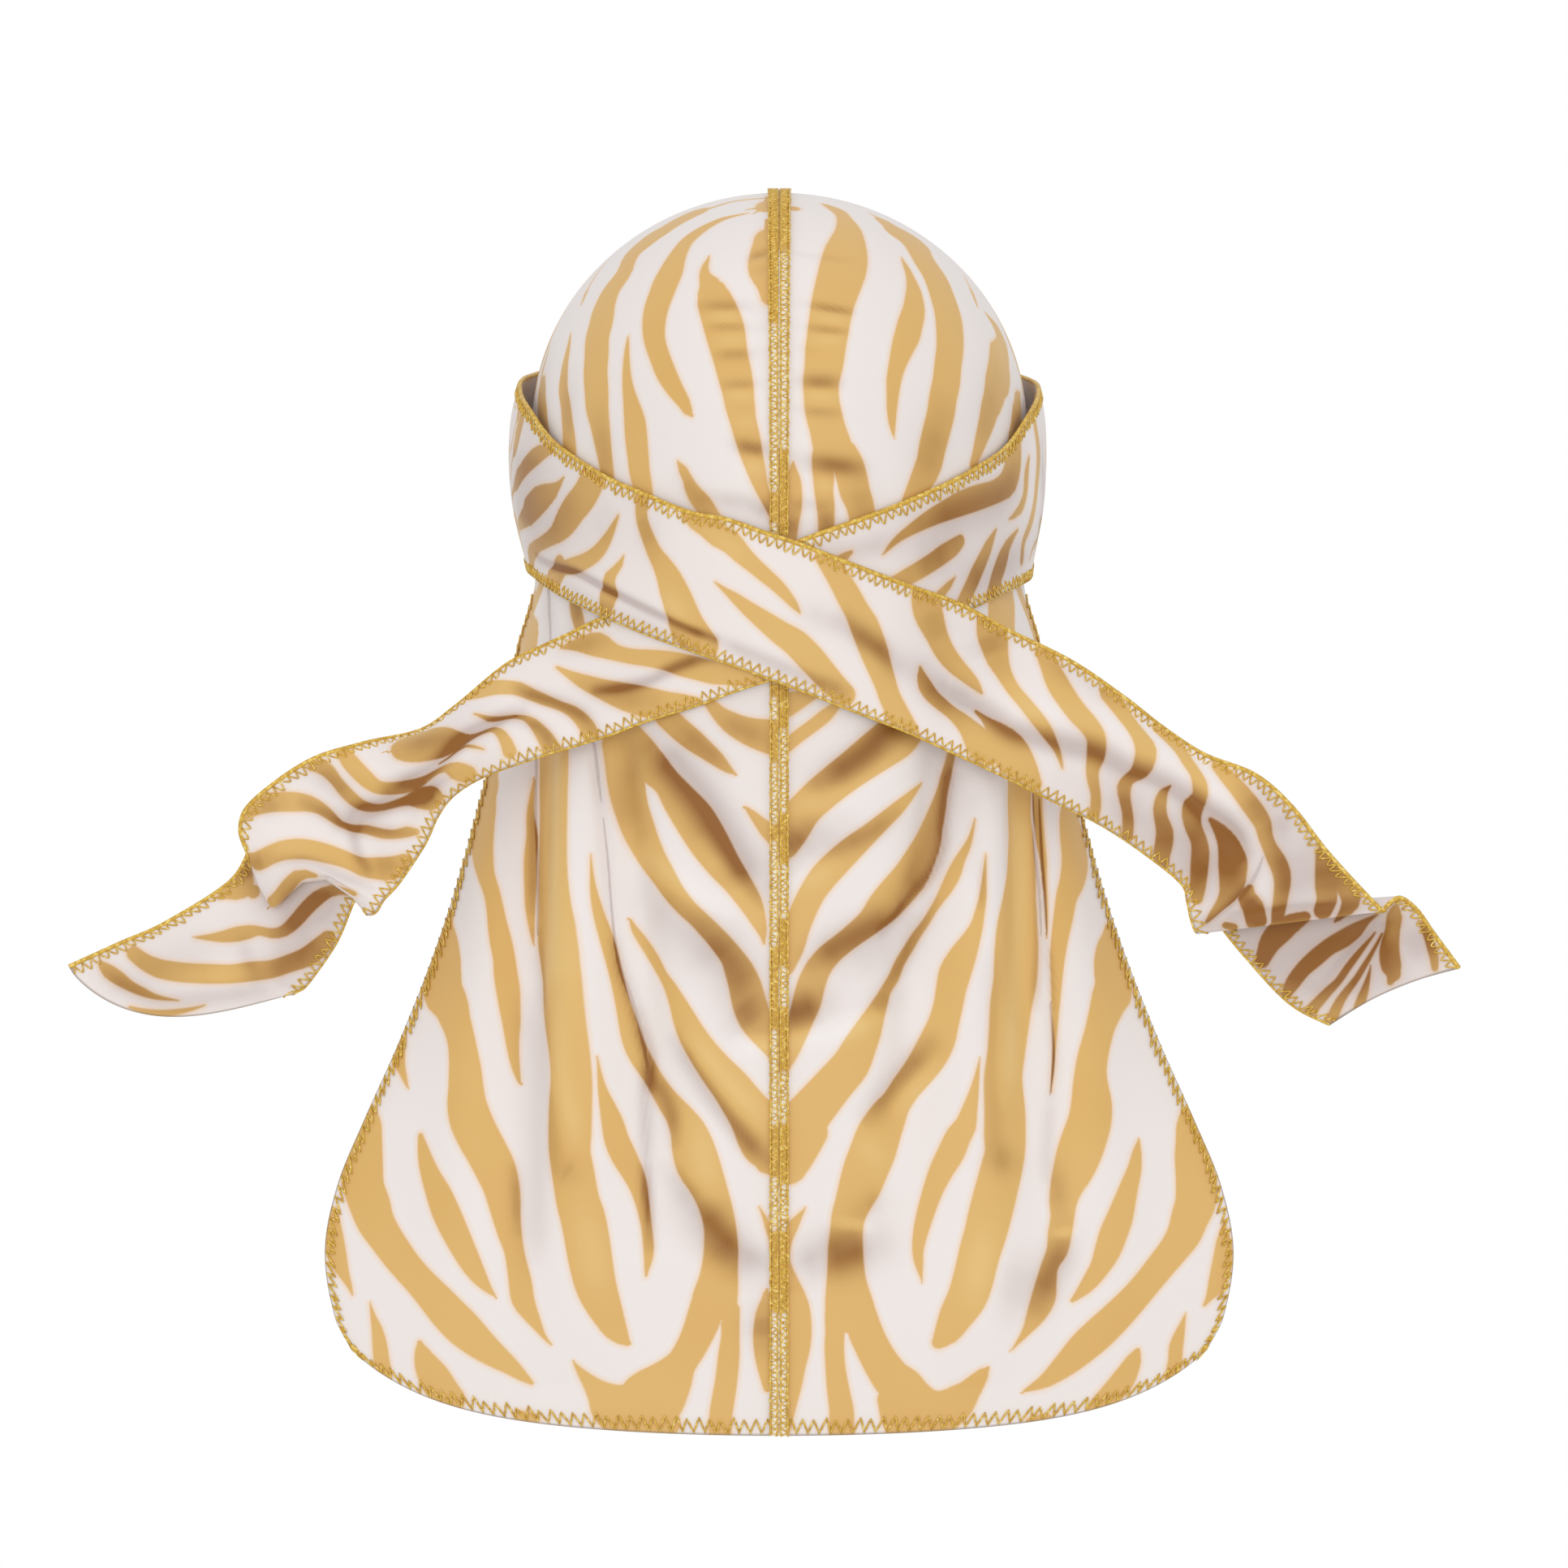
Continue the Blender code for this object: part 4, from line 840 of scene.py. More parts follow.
rightPanelCreasesAndShade = (
    # gathers beside the seam
    (0.4, 0.1, 975, 310, 7, 1010, 315, 7, 1045, 320, 7),
    (0.4, 0.1, 975, 372, 7, 1000, 376, 7, 1050, 385, 7),
    (0, 0.35, 1002, 376, 9, 1050, 384, 8),
    (0, -0.25, 1002, 391, 10, 1044, 396, 10),
    (0.4, 0.06, 975, 400, 9, 1000, 404, 9, 1040, 408, 9),
    (0, 0.25, 1000, 404, 10, 1042, 408, 10),
    (0, -0.25, 998, 418, 11, 1040, 420, 11),
    (0.5, 0.06, 975, 428, 9, 1010, 430, 9),
    (0.8, 0.12, 975, 468, 16, 1000, 470, 16, 1030, 472, 12),
    (0, 0.4, 992, 469, 17, 1034, 471, 15),
    (0, -0.25, 994, 487, 12, 1032, 488, 12),
    (0.5, 0.06, 975, 505, 10, 1010, 508, 10),
    (0, 0.25, 996, 507, 11, 1034, 509, 11),
    (0.9, 0.25, 975, 567, 18, 1010, 572, 20, 1060, 578, 18),
    (0, 0.4, 1004, 570, 20, 1062, 576, 20),
    (0, -0.25, 1006, 598, 14, 1026, 600, 14),
    (0.5, 0.25, 975, 620, 12, 1010, 624, 12),
    (0, 0.5, 1018, 630, 26, 1018, 660, 26),
    (0, 0.5, 978, 636, 24, 976, 662, 22),
    (0, 0.25, 1060, 600, 34, 1064, 640, 34),
    (0, 0.3, 1158, 520, 40, 1136, 590, 40),
    (0, 0.25, 1226, 470, 34, 1206, 550, 30),
    (0, 0.3, 1252, 500, 18, 1248, 535, 18),
    # the cape's right folds
    (1.2, 0.75, 1126, 890, 24, 1095, 900, 40, 1068, 926, 44, 1036, 948, 36, 1012, 962, 28),
    (0, -0.25, 980, 992, 24, 1020, 984, 24, 1066, 962, 24, 1112, 932, 22),
    (0, 0.5, 966, 1048, 34, 992, 1026, 34),
    (0.7, 0.3, 985, 1050, 44, 1034, 1018, 44),
    (0, 0.4, 1028, 1046, 24, 1072, 1026, 26, 1102, 1004, 20),
    (0, -0.3, 990, 1092, 22, 1024, 1068, 22),
    (1, 0.5, 1171, 932, 24, 1165, 975, 28, 1150, 1040, 36, 1134, 1078, 38, 1114, 1106, 34),
    (0.8, 0.45, 1176, 932, 6, 1168, 965, 7, 1162, 1010, 8, 1160, 1042, 10, 1148, 1072, 12, 1122, 1108, 14,
     1088, 1148, 18),
    (0.8, 0.65, 1108, 1128, 24, 1072, 1144, 34, 1034, 1162, 44, 1002, 1182, 40),
    (0.8, 0.3, 1046, 1192, 40, 1110, 1166, 50),
    (0.6, 0.45, 1146, 1112, 16, 1130, 1150, 18, 1112, 1190, 18, 1094, 1212, 20),
    (0, -0.4, 1257, 1000, 20, 1258, 1100, 22, 1252, 1240, 26),
    (0, 0.35, 1274, 985, 14, 1276, 1080, 14, 1280, 1160, 16, 1276, 1240, 16),
    (0.6, 0.15, 1278, 978, 12, 1280, 1040, 12, 1284, 1100, 12, 1287, 1150, 12),
    (0.8, 0.3, 1290, 1155, 7, 1294, 1200, 8, 1297, 1240, 9),
    (0.8, 0.25, 1293, 1240, 12, 1298, 1300, 12, 1294, 1345, 12),
    (0.6, 0.3, 1294, 1350, 12, 1291, 1400, 14, 1288, 1450, 16),
    (0, 0.3, 1212, 1060, 10, 1208, 1115, 10),
    (0.8, 0.15, 1196, 960, 34, 1194, 1060, 34),
    (0.9, 0.75, 960, 1252, 44, 985, 1246, 44, 1012, 1236, 34),
    (-0.6, -0.45, 974, 1284, 24, 1030, 1275, 26, 1084, 1254, 24),
    (0, 0.42, 1072, 1244, 30, 1098, 1226, 30),
    (0.8, 0.5, 1142, 1288, 22, 1116, 1318, 28, 1092, 1348, 30, 1070, 1376, 24),
    (0, -0.3, 1110, 1362, 22, 1154, 1318, 24),
    (0, -0.25, 1062, 1400, 34, 1086, 1440, 34),
    (-0.4, -0.4, 1030, 1507, 12, 1066, 1511, 12),
    (1.2, 0.7, 1010, 1548, 44, 1040, 1543, 50, 1078, 1534, 46),
    (0.6, 0.2, 985, 1556, 26, 1010, 1556, 26),
    (0, 0.22, 1066, 1488, 26, 1090, 1480, 26),
    (0, 0.18, 1220, 1180, 22, 1220, 1246, 22, 1221, 1340, 22, 1226, 1430, 24),
    (0, -0.4, 1246, 1246, 20, 1243, 1340, 20),
    (0, 0.25, 1224, 1428, 34, 1248, 1432, 34),
    (0, -0.3, 1214, 1520, 34, 1200, 1600, 34),
    (0, 0.25, 1300, 1440, 24, 1304, 1490, 24),
    (-0.4, -0.4, 1302, 1520, 12, 1322, 1517, 12),
    (1, 0.6, 1312, 1526, 30, 1306, 1550, 36, 1294, 1576, 38, 1282, 1606, 30),
    (0.8, 0.32, 1262, 1556, 40, 1248, 1616, 40),
)


# the ridge narrows from the top of the crown to the tie: its half width at four heights
seamWidths = ((-30.0, 2.8), (28.0, 3.1), (50.0, 3.35), (72.0, seamSize["halfWidth"]))


def seamHalf(z):
    return np.interp(z, *zip(*seamWidths))


def panelGrid(side):
    grid = []
    for i in range(panelLook["crownRows"] + panelLook["capeRows"] + 1):
        line = []
        for j in range(panelLook["columns"] + 1):
            column = j / panelLook["columns"]
            if i <= panelLook["crownRows"]:
                turn, height = crownSpot(i / panelLook["crownRows"], column)
            else:
                turn, height = capeSpot((i - panelLook["crownRows"]) / panelLook["capeRows"], column)
            point = formPoint(turn, height)
            line.append((point.x * side, point.y, point.z))
        grid.append(line)
    grid = np.array(grid)
    # the seam edge is drawn in under the ridge's foot, and the columns beside it share the step
    foot = seamHalf(grid[:, :1, 2]) - panelLook["footInset"]
    share = (1.0 - np.arange(grid.shape[1]) / panelLook["footColumns"]).clip(0.0)
    grid[:, :, 0] -= side * np.clip(np.abs(grid[:, :1, 0]) - foot, 0.0, None) * share
    return grid


# stripes of the sides, which the photograph doesn't show, as turn from the forehead, height and width in
# millimetres
panelSideStrokes = (
    (83, 14, 10, 87, 32, 10, 85, 47, 8, 89, 60, 3),
    (97, 12, 5, 99, 26, 7, 97, 38, 6, 100, 50, 2),
    (74, 47, 3, 77, 56, 6, 79, 64, 5, 84, 71, 2),
    (108, -50, 6, 103, -62, 9, 104, -76, 8, 108, -92, 3),
    (118, -96, 2, 114, -108, 6, 113, -120, 7, 116, -134, 3),
)


def rimDistance(grid, top=False):
    # how far each point lies in from the cut edges: the outer side, the hem and, on a tie, the top edge
    across, down = (np.linalg.norm(np.diff(grid, axis=k), axis=2) for k in (1, 0))
    outer, hem, inner = np.zeros((3, *grid.shape[:2]))
    outer[:, :-1] = np.cumsum(across[:, ::-1], axis=1)[:, ::-1]
    hem[:-1] = np.cumsum(down[::-1], axis=0)[::-1]
    inner[:, 1:] = np.cumsum(across, axis=1)
    rim = np.minimum(np.minimum(outer, hem), farAway)
    return np.minimum(rim, inner) if top else rim


def makePanel(name, side, stripes, creasesAndShade, foldShadeLines):
    grid = panelGrid(side)
    canvas = newCanvas(grid, -side)
    everywhere = np.ones(len(canvas["points"]), dtype=bool)
    drawStripes(canvas, everywhere, stripes, panelLook["mirrorAbove"])
    drawStripes(canvas, everywhere, foldShadeLines, fold=True)
    for stroke in panelSideStrokes:
        samples = smoothStroke(stroke)
        path = np.array([tuple(formPoint(turn, height)) for turn, height, _ in samples])
        printStroke(canvas, everywhere, path * (side, 1, 1), samples[:, 2] / 2)
    drawCreasesAndShade(canvas, everywhere, creasesAndShade)
    canvas["rim"] = rimDistance(grid)
    front = grid + gridNormals(grid, -side) * canvas["relief"].reshape(grid.shape[:2])[:, :, None]
    rear = front - gridNormals(front, -side) * clothThickness
    rear[:, 0, 0] = front[:, 0, 0]
    return sheetMesh(name, front, rear, (panelSatin, clothBack), canvas), front


leftPanel, leftFront = makePanel("left_panel_cloth", -1, leftPanelStripes, leftPanelCreasesAndShade, leftPanelFoldShadeLines)
rightPanel, rightFront = makePanel(
    "right_panel_cloth", 1, rightPanelStripes, rightPanelCreasesAndShade, rightPanelFoldShadeLines)
print("panels made")

# the ties: columns and row spacing of their grids, how far the bowed end reaches in, where the pleat turns,
# how far in from an edge the creases fade, where the unseen front ends, and how far each free end bulges and
# where across it
tieLook = {"columns": 50, "step": 0.8, "bowReach": 24.0, "bowRows": 12, "pleatRow": 9.6, "creaseFade": 5.0,
           "frontLast": 9, "leftEnd": (-2.0, 0.5), "rightEnd": (12.0, 0.4)}

# sections of a tie: round the crown, as turn and height of its two edges, and then the free tail as their
# places
WrapRow = namedtuple("WrapRow", "topTurn lowTurn topZ lowZ topLift lowLift belly")
TailRow = namedtuple("TailRow", "topX topY topZ lowX lowY lowZ belly flap", defaults=(0.0,))
bandStart = (
    (0.12, 0.12, 30, -14, 1.2, 1.2, 0),
    (5, 5, 30, -14, 1.2, 1.2, 0),
    (15, 15, 30, -14, 1.2, 1.2, 0),
    (30, 30, 29, -15.5, 1.3, 1.2, 0),
)
leftWrap = bandStart + (
    (46, 46, 27, -20, 1.8, 1.3, 0.5),
    (62, 62, 23.5, -28, 3.2, 1.5, 1.2),
    (77, 77, 19, -38, 4.6, 1.8, 2.4),
    (91, 91, 15, -45, 5, 2, 3.4),
    (100, 98.5, 9.5, -47.3, 4.6, 2, 3.2),
    (108.3, 106, 3.8, -49.3, 3.8, 2, 2.6),
    (120.3, 116, -7.8, -53.2, 2.2, 2, 1.4),
    (137.2, 126.5, -19.3, -57.6, 1.5, 2, 0.6),
    (149.8, 139.3, -26.4, -63, 1.9, 3.2, 0.2),
    (160.8, 151.2, -32.3, -69, 3.2, 3.3, 0),
    (168.9, 159.9, -34.6, -73.4, 3.8, 3.6, 0),
    (176.6, 167.2, -38.6, -77.3, 4.1, 3.9, 0),
    (183.4, 173.4, -41.8, -80.7, 4.1, 4, 0),
    (190.3, 179.4, -45.5, -84.3, 3.9, 4.1, 0),
    (198, 186.1, -49.6, -88.4, 3.6, 4, 0),
    (207.3, 192.6, -54.2, -92.7, 3.6, 3.9, 0),
    (216.5, 198.8, -57.9, -96.7, 3.6, 4.1, 0),
)
leftTail = (
    (59.5, -75.3, -61.6, 41.6, -90.5, -100.8, 0.3),
    (72, -70.5, -68.2, 51.5, -87, -105.3, 0.8),
    (91.5, -71, -77.9, 71, -81, -114.2, 1.5),
    (108, -70, -89.1, 89, -74, -123, 4),
    (120.5, -66, -98.6, 101, -76, -129, 7),
    (133, -70, -106.9, 114, -80, -137.8, 4),
    (148.3, -78, -113.2, 125.2, -80, -147, -2),
    (159.5, -82, -123.3, 126.8, -85, -152.9, -1),
    (170.9, -82, -137.9, 127.6, -87, -157.4, 1),
    (186, -84, -154.2, 129.3, -86.5, -161.9, 0),
    (188.6, -82.2, -154, 131.2, -84.7, -160.6, 0),
    (191.6, -80.4, -151.8, 133, -82.9, -156.4, 0),
    (194.2, -78.4, -151.7, 134.6, -80.9, -157, 0),
    (198.9, -78, -155.6, 145.6, -78, -170.2, 0),
    (203.5, -81, -162.6, 158.8, -80, -184.2, 3),
    (210.9, -86, -173.2, 170.9, -85, -190.8, -2),
)
rightWrap = bandStart + (
    (46, 46, 26.5, -20, 1.8, 1.3, 0.5),
    (62, 62, 23, -28, 3, 1.5, 1),
    (77, 77, 18, -38.5, 4.3, 1.8, 1.8),
    (90, 90, 14, -46.5, 4.7, 2, 2.4),
    (99.5, 99, 8.5, -49.5, 4.3, 2, 2.3),
    (107.8, 107.5, 2.3, -51.5, 3.4, 2, 1.9),
    (118.3, 114.6, -8.6, -53.6, 1.8, 1.8, 1.2),
    (129.6, 120.8, -16, -55.6, 1.4, 1.4, 0.5),
    (140.1, 128.1, -22.3, -58.5, 1.3, 1.3, 0),
    (151.8, 142, -28.9, -64.6, 1.4, 1.3, 0),
    (162, 153.4, -34.3, -70.4, 1.7, 1.5, 0),
    (169.5, 161, -38, -74.2, 2.1, 1.7, 0),
    (176, 167.7, -41.5, -77.4, 2.4, 1.9, 0),
    (183.5, 175.2, -45.5, -81, 2.3, 2.3, 0),
    (190.6, 181.6, -49.4, -83.9, 2, 2.4, 0),
    (197.8, 188.2, -53.1, -87.2, 1.6, 2, 0),
    (205.3, 194.9, -57.1, -91.2, 1.4, 1.7, 0),
    (213.1, 200.6, -60.9, -94.1, 1.3, 2, 0),
    (221.8, 206.4, -64.7, -97.1, 1.3, 3, 0),
)
rightTail = (
    (65, -66.8, -68.7, 52, -85.5, -100.6, 1.5),
    (74.5, -64.5, -73, 62.5, -82.5, -103.9, 3.5),
    (86, -64, -78.9, 76, -80.5, -107.9, 6),
    (101.6, -66, -91.9, 91.8, -80, -113.5, 10),
    (112.6, -70, -99.5, 101.3, -80, -119.3, 10),
    (130, -78, -103.6, 106.4, -80, -126, 4),
    (146.7, -84, -109.2, 110.4, -80, -134.7, -1),
    (163.4, -86, -121.5, 118, -85, -146.6, 0),
    (167.2, -85, -129.6, 122.6, -88, -151.8, 1),
    (165, -84, -137, 124.9, -88, -155.6, 0, 0.95),
    (164.6, -82.2, -138.4, 127.6, -86.2, -156.2, 0, 1),
    (163.4, -80.4, -134.6, 129.8, -84.4, -151.6, 0, 0.9),
    (164.4, -78.4, -135.2, 132.2, -82.4, -152.4, 0, 0.5),
    (171.3, -77, -146.6, 138, -79, -165.3, 2),
    (191.3, -79, -159.5, 146.8, -80, -178.1, 3),
    (205, -81, -165.6, 150, -82, -180.6, 1),
    (220.9, -82, -172.8, 151.5, -82, -181.4, 0),
)
tieShares = np.linspace(0.0, 1.0, tieLook["columns"] + 1)
# where the fold hangs lower or higher than straight: one point hangs down near its top edge
flapDrop = np.interp(tieShares, (0.0, 0.08, 0.19, 0.3, 0.43, 0.64, 0.87, 1.0),
                     (0.0, -7.0, -12.4, -6.5, 0.0, 4.6, 3.0, 0.0))


def wrapSection(row, side):
    points = []
    for t in tieShares:
        lift = mix(row.topLift, row.lowLift, t) + row.belly * math.sin(math.pi * t)
        angle = math.radians(mix(row.topTurn, row.lowTurn, t))
        height = mix(row.topZ, row.lowZ, t)
        across, back = halfAxes(height)
        points.append((side * math.sin(angle) * (across + lift), math.cos(angle) * (back + lift), height))
    return np.array(points)


def tailSection(row, toward):
    top = np.array((toward * row.topX, row.topY, row.topZ))
    low = np.array((toward * row.lowX, row.lowY, row.lowZ))
    points = top + (low - top) * tieShares[:, None]
    points[:, 1] -= row.belly * np.sin(np.pi * tieShares)
    points[:, 2] += row.flap * flapDrop
    return points


def loft(sections):
    # smooth rows through the sections, and the place of each row among them
    last = len(sections) - 1
    rows, places = [], []
    for k in range(last):
        before, start, end, after = (sections[min(max(k + n, 0), last)] for n in (-1, 0, 1, 2))
        steps = max(1, round(np.linalg.norm(end - start, axis=1).max() / tieLook["step"]))
        for step in range(steps):
            t = step / steps
            rows.append(start * (2 * t ** 3 - 3 * t ** 2 + 1)
                        + (end - before) * 0.5 * (t ** 3 - 2 * t ** 2 + t)
                        + end * (3 * t ** 2 - 2 * t ** 3) + (after - start) * 0.5 * (t ** 3 - t ** 2))
            places.append(k + t)
    rows.append(sections[-1])
    places.append(last)
    return np.array(rows), np.array(places)


def bowEnd(grid, bow, peak):
    # the free end bulges by bow, most at the share peak across
    skew = math.log(0.5) / math.log(peak)
    middle = tieLook["columns"] // 2
    chord = grid[-1, -1] - grid[-1, 0]
    chord /= np.linalg.norm(chord)
    run = grid[-1, middle] - grid[-tieLook["bowRows"], middle]
    outward = run - chord * run.dot(chord)
    outward /= np.linalg.norm(outward)
    rows = round(tieLook["bowReach"] / tieLook["step"])
    for back in range(rows):
        fade = 1.0 - back / rows
        grid[-1 - back] += outward * (bow * fade * np.sin(np.pi * tieShares ** skew))[:, None]
    return grid


# stripes, folds and creases of the ties, written like those of the panels
leftTieStripes = (
    (653, 474, 3, 650, 490, 5, 643, 515, 6, 636, 545, 6, 631, 568, 4, 629, 590, 2),
    (643, 480, 2, 640, 505, 3, 634, 530, 3, 629, 555, 3),
    (680, 553, 10, 664, 560, 20, 652, 570, 17, 643, 582, 13, 636, 595, 10, 631, 610, 6, 629, 622, 2),
    (694, 589, 2, 689, 597, 7, 682, 605, 16, 672, 612, 28, 662, 619, 32, 652, 630, 25, 648, 637, 18,
     639, 648, 12, 634, 657, 10),
    (735, 583, 30, 721, 609, 33, 708, 626, 33, 696, 643, 30, 683, 659, 20, 670, 668, 16, 659, 676, 14,
     654, 690, 11, 653, 702, 9),
    (762, 635, 2, 757, 646, 6, 751, 659, 10, 744, 671, 14, 735, 682, 17, 722, 691, 19, 706, 697, 20,
     690, 700, 16, 680, 702, 10),
    (690, 700, 20, 684, 712, 20, 680, 724, 18),
    (768, 686, 2, 764, 695, 7, 757, 704, 10, 751, 713, 14, 749, 724, 18, 749, 736, 20, 747, 748, 16,
     746, 756, 14),
    (790, 612, 13, 790, 625, 14, 791, 640, 14, 796, 656, 15, 806, 680, 18, 815, 695, 23, 823, 710, 29,
     829, 725, 34, 835, 740, 37, 840, 755, 40, 846, 770, 42, 856, 785, 42, 865, 797, 40),
    (845, 628, 14, 857, 640, 24, 873, 648, 30, 885, 660, 28, 900, 668, 28, 913, 682, 24, 927, 695, 20,
     943, 709, 18, 958, 722, 16, 970, 735, 13, 979, 746, 9, 985, 754, 3),
    (882, 718, 2, 893, 727, 6, 905, 736, 12, 922, 750, 18, 942, 765, 24, 962, 780, 29, 980, 792, 33,
     997, 809, 34, 1013, 827, 32, 1027, 843, 30, 1040, 856, 28),
    (1018, 685, 28, 1026, 700, 27, 1036, 717, 28, 1046, 735, 30, 1056, 753, 30, 1065, 770, 34, 1072, 788, 35,
     1079, 806, 35, 1085, 824, 31, 1091, 842, 27, 1096, 858, 26, 1103, 873, 27, 1110, 887, 28,
     1116, 898, 28),
    (1140, 738, 34, 1143, 752, 36, 1148, 767, 32, 1154, 782, 27, 1161, 797, 25, 1170, 811, 23, 1181, 823, 20,
     1192, 833, 16, 1202, 843, 11, 1210, 853, 3),
    (1135, 822, 3, 1137, 833, 11, 1141, 845, 18, 1149, 857, 18, 1160, 867, 17, 1172, 877, 16, 1185, 888, 20,
     1196, 900, 26, 1205, 912, 34, 1214, 925, 38),
    (1205, 876, 5, 1214, 884, 9, 1224, 895, 20, 1234, 908, 34, 1243, 922, 46, 1252, 937, 44, 1263, 952, 34,
     1274, 966, 20),
    (1222, 765, 36, 1222, 780, 37, 1225, 795, 33, 1229, 812, 27, 1237, 830, 19, 1248, 849, 16, 1260, 864, 16,
     1272, 879, 16, 1284, 893, 15, 1294, 906, 13, 1302, 920, 9, 1306, 933, 6, 1309, 946, 2),
    (1288, 806, 22, 1294, 822, 23, 1303, 842, 27, 1314, 861, 27, 1326, 878, 26, 1340, 893, 23, 1350, 907, 22,
     1352, 920, 23, 1350, 933, 21, 1346, 948, 16, 1347, 963, 14, 1350, 978, 12, 1350, 993, 13,
     1348, 1006, 13),
    (1367, 855, 22, 1376, 868, 20, 1386, 884, 18, 1396, 899, 17, 1405, 913, 19, 1411, 926, 24, 1410, 940, 25,
     1402, 951, 19, 1391, 959, 15, 1385, 970, 17, 1386, 985, 14, 1389, 1000, 13, 1390, 1015, 14,
     1389, 1030, 14),
    (1443, 966, 3, 1436, 973, 9, 1431, 984, 14, 1429, 997, 16, 1431, 1010, 17, 1435, 1025, 21,
     1434, 1040, 22, 1431, 1054, 21, 1430, 1068, 20),
    (1428, 898, 14, 1441, 911, 15, 1453, 925, 15, 1462, 940, 14, 1472, 954, 13, 1478, 967, 17, 1479, 980, 18,
     1472, 993, 26, 1469, 1005, 25, 1471, 1020, 21, 1477, 1035, 20, 1479, 1050, 22, 1478, 1065, 22,
     1477, 1080, 21, 1476, 1095, 19, 1475, 1108, 14),
    (1493, 1010, 6, 1503, 1022, 16, 1511, 1036, 24, 1516, 1050, 31, 1519, 1063, 36, 1519, 1077, 34,
     1518, 1090, 31, 1513, 1103, 22, 1504, 1115, 14, 1494, 1127, 9, 1487, 1136, 4),
    (1500, 944, 14, 1511, 956, 18, 1523, 969, 20, 1535, 984, 22, 1547, 1000, 23, 1556, 1015, 21,
     1559, 1030, 18, 1565, 1045, 18, 1573, 1060, 22, 1579, 1075, 22, 1580, 1090, 20, 1578, 1105, 18,
     1576, 1120, 17, 1574, 1134, 15),
    (1540, 1094, 10, 1537, 1106, 22, 1544, 1118, 26, 1548, 1134, 26),
    (1630, 1052, 18, 1632, 1072, 23, 1634, 1092, 27, 1635, 1108, 25, 1630, 1122, 22),
    (1640, 1066, 16, 1652, 1082, 24, 1662, 1098, 26, 1664, 1112, 22, 1655, 1126, 12, 1645, 1135, 3),
    # below the pleat
    (1510, 1140, 8, 1520, 1143, 10),
    (1608, 1130, 14, 1592, 1138, 24, 1577, 1148, 30, 1566, 1160, 27, 1560, 1172, 22, 1555, 1184, 18),
    (1697, 1127, 2, 1684, 1135, 8, 1671, 1145, 17, 1655, 1156, 21, 1638, 1166, 20, 1620, 1181, 21,
     1604, 1196, 19, 1593, 1211, 18, 1584, 1226, 12),
    (1694, 1149, 2, 1683, 1163, 5, 1672, 1177, 8, 1660, 1193, 9, 1649, 1209, 9, 1637, 1221, 11,
     1625, 1234, 13, 1614, 1246, 14),
    (1703, 1150, 3, 1692, 1170, 5, 1682, 1188, 7, 1672, 1205, 8, 1662, 1218, 9, 1652, 1232, 11,
     1645, 1246, 13, 1641, 1258, 14),
    (1689, 1190, 1, 1686, 1204, 5, 1682, 1219, 9, 1677, 1233, 12, 1673, 1245, 12),
    (1720, 1118, 8, 1718, 1130, 19, 1716, 1145, 18, 1713, 1160, 22, 1712, 1175, 25, 1714, 1190, 25,
     1717, 1200, 18, 1713, 1210, 8),
    (1752, 1138, 6, 1758, 1150, 10, 1763, 1165, 11, 1767, 1180, 11, 1768, 1193, 8),
)
